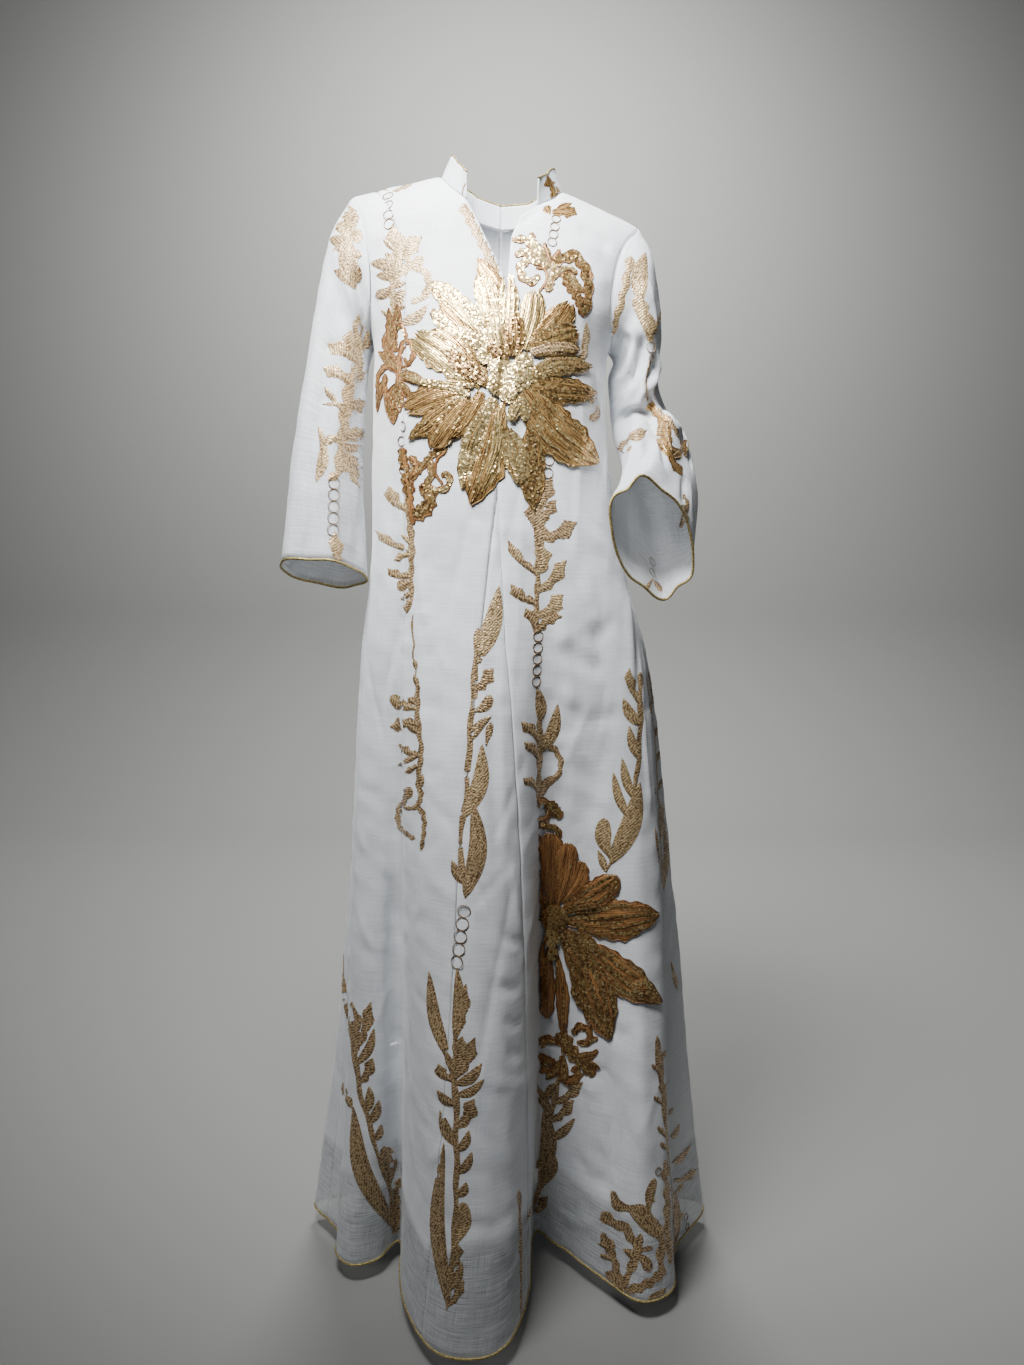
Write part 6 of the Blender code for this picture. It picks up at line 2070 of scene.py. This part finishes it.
class NodeTree(Nodes):
    """A Geometry Nodes tree that is built step by step."""

    def __init__(self, name: str, sizes: dict[str, float]) -> None:
        """Starts a tree with a geometry input and some named sizes."""
        super().__init__(bpy.data.node_groups.new(name, "GeometryNodeTree"))
        face = self.tree.interface
        face.new_socket("Geometry", in_out="INPUT", socket_type="NodeSocketGeometry")
        for label, value in sizes.items():
            socket = face.new_socket(label, in_out="INPUT", socket_type="NodeSocketFloat")
            socket.default_value = value
        face.new_socket("Geometry", in_out="OUTPUT", socket_type="NodeSocketGeometry")
        self.start = self.tree.nodes.new("NodeGroupInput").outputs

    def attribute(self, name: str, kind: str) -> Socket:
        """The socket of a named attribute."""
        return self.add("GeometryNodeInputNamedAttribute", {"Name": name}, "Attribute", data_type=kind)

    def on_points(self, instance: Socket, turn: Socket) -> Socket:
        """A small piece on each point, turned, and scaled by the attribute "size"."""
        inputs = {"Points": self.start["Geometry"], "Instance": instance, "Rotation": turn}
        return self.add("GeometryNodeInstanceOnPoints", {**inputs, "Scale": self.attribute("size", "FLOAT")})

    def facing(self) -> Socket:
        """The rotation that turns a flat piece to face out of the cloth."""
        outward = {"Vector": self.attribute("facing", "FLOAT_VECTOR")}
        return self.add("FunctionNodeAlignRotationToVector", outward, axis="Z")

    def tube(self, curve: Socket) -> Socket:
        """A round thread along curves."""
        size = {"Resolution": 5, "Radius": self.start["Thread Radius"]}
        thread = self.add("GeometryNodeCurvePrimitiveCircle", size)
        return self.add("GeometryNodeCurveToMesh", {"Curve": curve, "Profile Curve": thread})

    def close(self, source: Socket, finish: bpy.types.Material) -> bpy.types.NodeTree:
        """Ends the tree in Realize Instances and Set Material."""
        real = self.add("GeometryNodeRealizeInstances", {"Geometry": source})
        dressed = self.add("GeometryNodeSetMaterial", {"Geometry": real, "Material": finish})
        self.tree.links.new(dressed, self.tree.nodes.new("NodeGroupOutput").inputs["Geometry"])
        return self.tree


def grown(
    name: str, mesh: bpy.types.Mesh, tree: bpy.types.NodeTree, sizes: dict[str, float]
) -> bpy.types.Object:
    """A plain mesh object grown by a Geometry Nodes tree from a mesh.

    Args:
        name: the object's name.
        mesh: what the tree starts from.
        tree: the tree.
        sizes: values for the tree's named inputs.

    Returns:
        The new piece, riding on the body.
    """
    seed = bpy.data.objects.new(name + "_seed", mesh)
    bpy.context.scene.collection.objects.link(seed)
    modifier = seed.modifiers.new("grow", "NODES")
    modifier.node_group = tree
    for item in tree.interface.items_tree:
        if item.item_type == "SOCKET" and item.in_out == "INPUT" and item.name in sizes:
            modifier[item.identifier] = float(sizes[item.name])
    bpy.context.view_layer.update()
    evaluated = seed.evaluated_get(bpy.context.evaluated_depsgraph_get())
    result = bpy.data.meshes.new_from_object(evaluated)
    result.name = name
    seed.modifiers.clear()
    bpy.data.objects.remove(seed)
    obj = bpy.data.objects.new(name, result)
    bpy.context.scene.collection.objects.link(obj)
    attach(obj, "root")
    log.info("%s: %d faces", name, len(result.polygons))
    return obj


def point_mesh(name: str, points: Array, **marks: Array) -> bpy.types.Mesh:
    """A mesh of loose points with a vector or a value for each."""
    mesh = bpy.data.meshes.new(name)
    mesh.from_pydata(points.tolist(), [], [])
    for label, values in marks.items():
        is_vector = values.ndim == 2
        layer = mesh.attributes.new(label, "FLOAT_VECTOR" if is_vector else "FLOAT", "POINT")
        layer.data.foreach_set("vector" if is_vector else "value", values.astype(np.float32).ravel())
    return mesh


@dataclass
class Sequins:
    """Sequins and rings that are sewn on one by one."""

    finishes: Finishes
    radius: float = 0.0014
    tilt: float = 0.28
    ring_thread: float = 0.00055
    ring_lift: float = 0.0006  # of a ring's middle off the cloth

    def sequin_tree(self) -> bpy.types.NodeTree:
        """A tree that puts a tilted disc on each point."""
        tree = NodeTree("sequins", {"Disc Radius": self.radius, "Tilt": self.tilt})
        size = {"Vertices": 7, "Radius": tree.start["Disc Radius"]}
        disc = tree.add("GeometryNodeMeshCircle", size, fill_type="NGON")
        span = {0: (-1.0, -1.0, -1.0), 1: (1.0, 1.0, 1.0), "Seed": 11}
        chance = tree.add("FunctionNodeRandomValue", span, data_type="FLOAT_VECTOR")
        lean = tree.add("ShaderNodeVectorMath", {0: chance, "Scale": tree.start["Tilt"]}, operation="SCALE")
        by = tree.add("FunctionNodeEulerToRotation", {"Euler": lean})
        turn = {"Rotation": tree.facing(), "Rotate By": by}
        both = tree.add("FunctionNodeRotateRotation", turn, rotation_space="LOCAL")
        return tree.close(tree.on_points(disc, both), self.finishes.film)

    def ring_tree(self) -> bpy.types.NodeTree:
        """A tree that puts a ring of thread on each point."""
        tree = NodeTree("rings", {"Thread Radius": self.ring_thread})
        loop = tree.add("GeometryNodeCurvePrimitiveCircle", {"Resolution": 22, "Radius": 1.0})
        real = tree.add("GeometryNodeRealizeInstances", {"Geometry": tree.on_points(loop, tree.facing())})
        return tree.close(tree.tube(real), self.finishes.threads[TAN])

    def edge_tree(self, finish: bpy.types.Material) -> bpy.types.NodeTree:
        """A tree that runs a cord along the edges of a wire mesh."""
        tree = NodeTree("couched_cord", {"Thread Radius": self.ring_thread})
        curve = tree.add("GeometryNodeMeshToCurve", {"Mesh": tree.start["Geometry"]})
        return tree.close(tree.tube(curve), finish)

    def sew(self, name: str, work: Needlework) -> bpy.types.Object:
        """Makes the sequins of a piece of needlework."""
        points, normals, tones, sizes = (np.concatenate(part) for part in zip(*work.sequins))
        mesh = point_mesh(name, points, facing=normals, tone=tones, size=sizes)
        obj = grown(name, mesh, self.sequin_tree(), {"Disc Radius": self.radius, "Tilt": self.tilt})
        return obj

    def cord(self, name: str, work: Needlework, thread: Thread, radius: float) -> bpy.types.Object:
        """Makes the couched cords of a piece of needlework."""
        points = np.concatenate(work.edges)
        mesh = bpy.data.meshes.new(name)
        edges, start = [], 0
        for line in work.edges:
            edges += [(start + i, start + i + 1) for i in range(len(line) - 1)]
            start += len(line)
        mesh.from_pydata(points.tolist(), edges, [])
        tree = self.edge_tree(self.finishes.threads[thread])
        obj = grown(name, mesh, tree, {"Thread Radius": radius})
        return obj

    def rings(self, name: str, table: Table, sight: Sight, surface: str) -> bpy.types.Object:
        """Makes the chains of rings of a table."""
        spots, sizes = [], []
        for x0, y0, x1, y1, count, radius in table:
            for share in np.linspace(0, 1, int(count)):
                spots.append((x0 + (x1 - x0) * share, y0 + (y1 - y0) * share))
                sizes.append(radius * METRES_PER_PIXEL)
        points, normals, found = sight.cast(np.array(spots), surface)
        points = points + normals * self.ring_lift
        mesh = point_mesh(name, points[found], facing=normals[found], size=np.array(sizes)[found])
        obj = grown(name, mesh, self.ring_tree(), {"Thread Radius": self.ring_thread})
        return obj


@dataclass
class Appliques:
    """The flowers, scrolls, sprigs and rings of the dress."""

    finishes: Finishes
    sight: Sight
    pieces: dict[str, list[bpy.types.Object]]
    petal_cord: float = 0.0006
    scroll_cord: float = 0.0008
    scroll_rise: float = 0.0011  # of a scroll's middle over its edges

    def flower(self, node: str, petals: tuple, main: Thread, surface: str, sequins: Sequins) -> None:
        """Makes a flower of petals and clusters of sequins.

        Args:
            node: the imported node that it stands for.
            petals: its table.
            main: the thread of most of its petals.
            surface: the group of surfaces that it lies on.
            sequins: the maker of its sequins and cords.
        """
        work = Needlework(node, self.sight, self.finishes)
        for row in petals:
            work.petal(row, surface)
        cords = GOLD if main is BRONZE else main
        for place in HEARTS[node]:
            work.scatter(place, surface, cords)
        made = work.threads("gold_sequins", {main: (node,)})
        made.append(sequins.sew(node + "_sequins", work))
        made.append(sequins.cord(node + "_edges", work, cords, self.petal_cord))
        self.pieces["body"] += made

    def scrolls(self, sequins: Sequins) -> None:
        """Makes the corded scrolls that are filled with sequins, and the band of the neck slit."""
        work = Needlework("scroll", self.sight, self.finishes)
        for half, cover, tone, *pixels in SCROLLS:
            x, y = pixels[0]
            strip = work.stem(half, BROWN, pixels, front_at(y), self.scroll_rise)
            work.edge_of(strip, 0.0005)
            if cover:
                lift = strip.domed(0.0006, self.scroll_rise)
                work.rows_of_sequins(strip, lift, half * 0.8, cover, tone, seed=x % 7)
        for (cut, thread), row in rows_of(SCROLL_LEAVES):
            strip = work.leaf(row, cut, thread, front_at(row[1]))
            work.edge_of(strip, 0.0006)
            lift = strip.domed(0.0008, 0.0006)
            work.rows_of_sequins(strip, lift, row[4] * 0.7, cover=0.8, tone=0.46, seed=1.0)
        nodes = ("scroll_upper_outer", "scroll_upper_inner", "scroll_side", "scroll_lower", "leaf_lower")
        made = work.threads("gold_sequins", {BROWN: nodes})
        made.append(sequins.sew("scroll_sequins", work))
        made.append(sequins.cord("scroll_edges", work, BROWN, self.scroll_cord))
        self.pieces["body"] += made
        band = Needlework("slit_band", self.sight, self.finishes)
        half, thread, *pixels = BAND
        band.stem(half, thread, pixels, "body")
        self.pieces["body"] += band.threads("gold_sequins", {thread: ("slit_band",)})

    def sprigs(self, sequins: Sequins) -> None:
        """Makes the embroidered sprigs and the chains of rings of the body and the sleeves."""
        tables = (
            ("body", "body", BODY_LEAVES, BODY_STEMS, BODY_RINGS),
            ("right", "sleeve_right", RIGHT_SLEEVE_LEAVES, RIGHT_SLEEVE_STEMS, RIGHT_SLEEVE_RINGS),
            ("left", "sleeve_left", LEFT_SLEEVE_LEAVES, LEFT_SLEEVE_STEMS, LEFT_SLEEVE_RINGS),
        )
        for word, surface, leaves, stems, rings in tables:
            work = Needlework(f"sprig_{word}", self.sight, self.finishes)
            if word == "body":
                work.leaves(COLLAR_LEAVES, "collar_left")
                for half, thread, *pixels in COLLAR_STEMS:
                    work.stem(half, thread, pixels, "collar_right")
            for half, thread, *pixels in stems:
                work.stem(half, thread, pixels, surface)
            work.leaves(leaves, surface)
            self.pieces[word] += work.threads("gold_sequins", {})
            self.pieces[word].append(sequins.rings(f"rings_{word}", rings, self.sight, surface))

    def build(self) -> None:
        """Makes all of them."""
        sequins = Sequins(self.finishes)
        self.flower("chest_flower", CHEST_PETALS, BRONZE, "body", sequins)
        self.flower("skirt_flower", SKIRT_PETALS, BROWN, "left_front", sequins)
        self.scrolls(sequins)
        self.sprigs(sequins)


def main() -> None:
    """Builds the dress and its studio."""
    logging.basicConfig(level=logging.INFO, format="%(name)s: %(message)s")
    sight, finishes = Sight(), Finishes()
    Studio(sight).build()
    panels = Bodice(finishes, sight).build()
    edging = Edging(finishes)
    pieces: dict[str, list[bpy.types.Object]] = {"body": [], "right": [], "left": []}
    pieces["body"].append(edging.along("hem_piping", edging.hem_path(panels), PIPING_RADIUS))
    shells: dict[str, Sheeted] = {}
    for side in Side:
        word = side.name.lower()
        maker = Sleeve(side, finishes, sight)
        shells[word] = maker.build()
        path = maker.cuff_path(shells[word])
        pieces[word].append(edging.along(f"cuff_piping_{word}", path, PIPING_RADIUS))
        collar, edge = Collar(side, finishes, sight).build()
        rolled = edging.along(f"collar_piping_{word}", edge, COLLAR_EDGE_RADIUS, closed=False)
    Appliques(finishes, sight, pieces).build()
    lining = Lining(finishes).build()


if __name__ == "__main__":
    main()
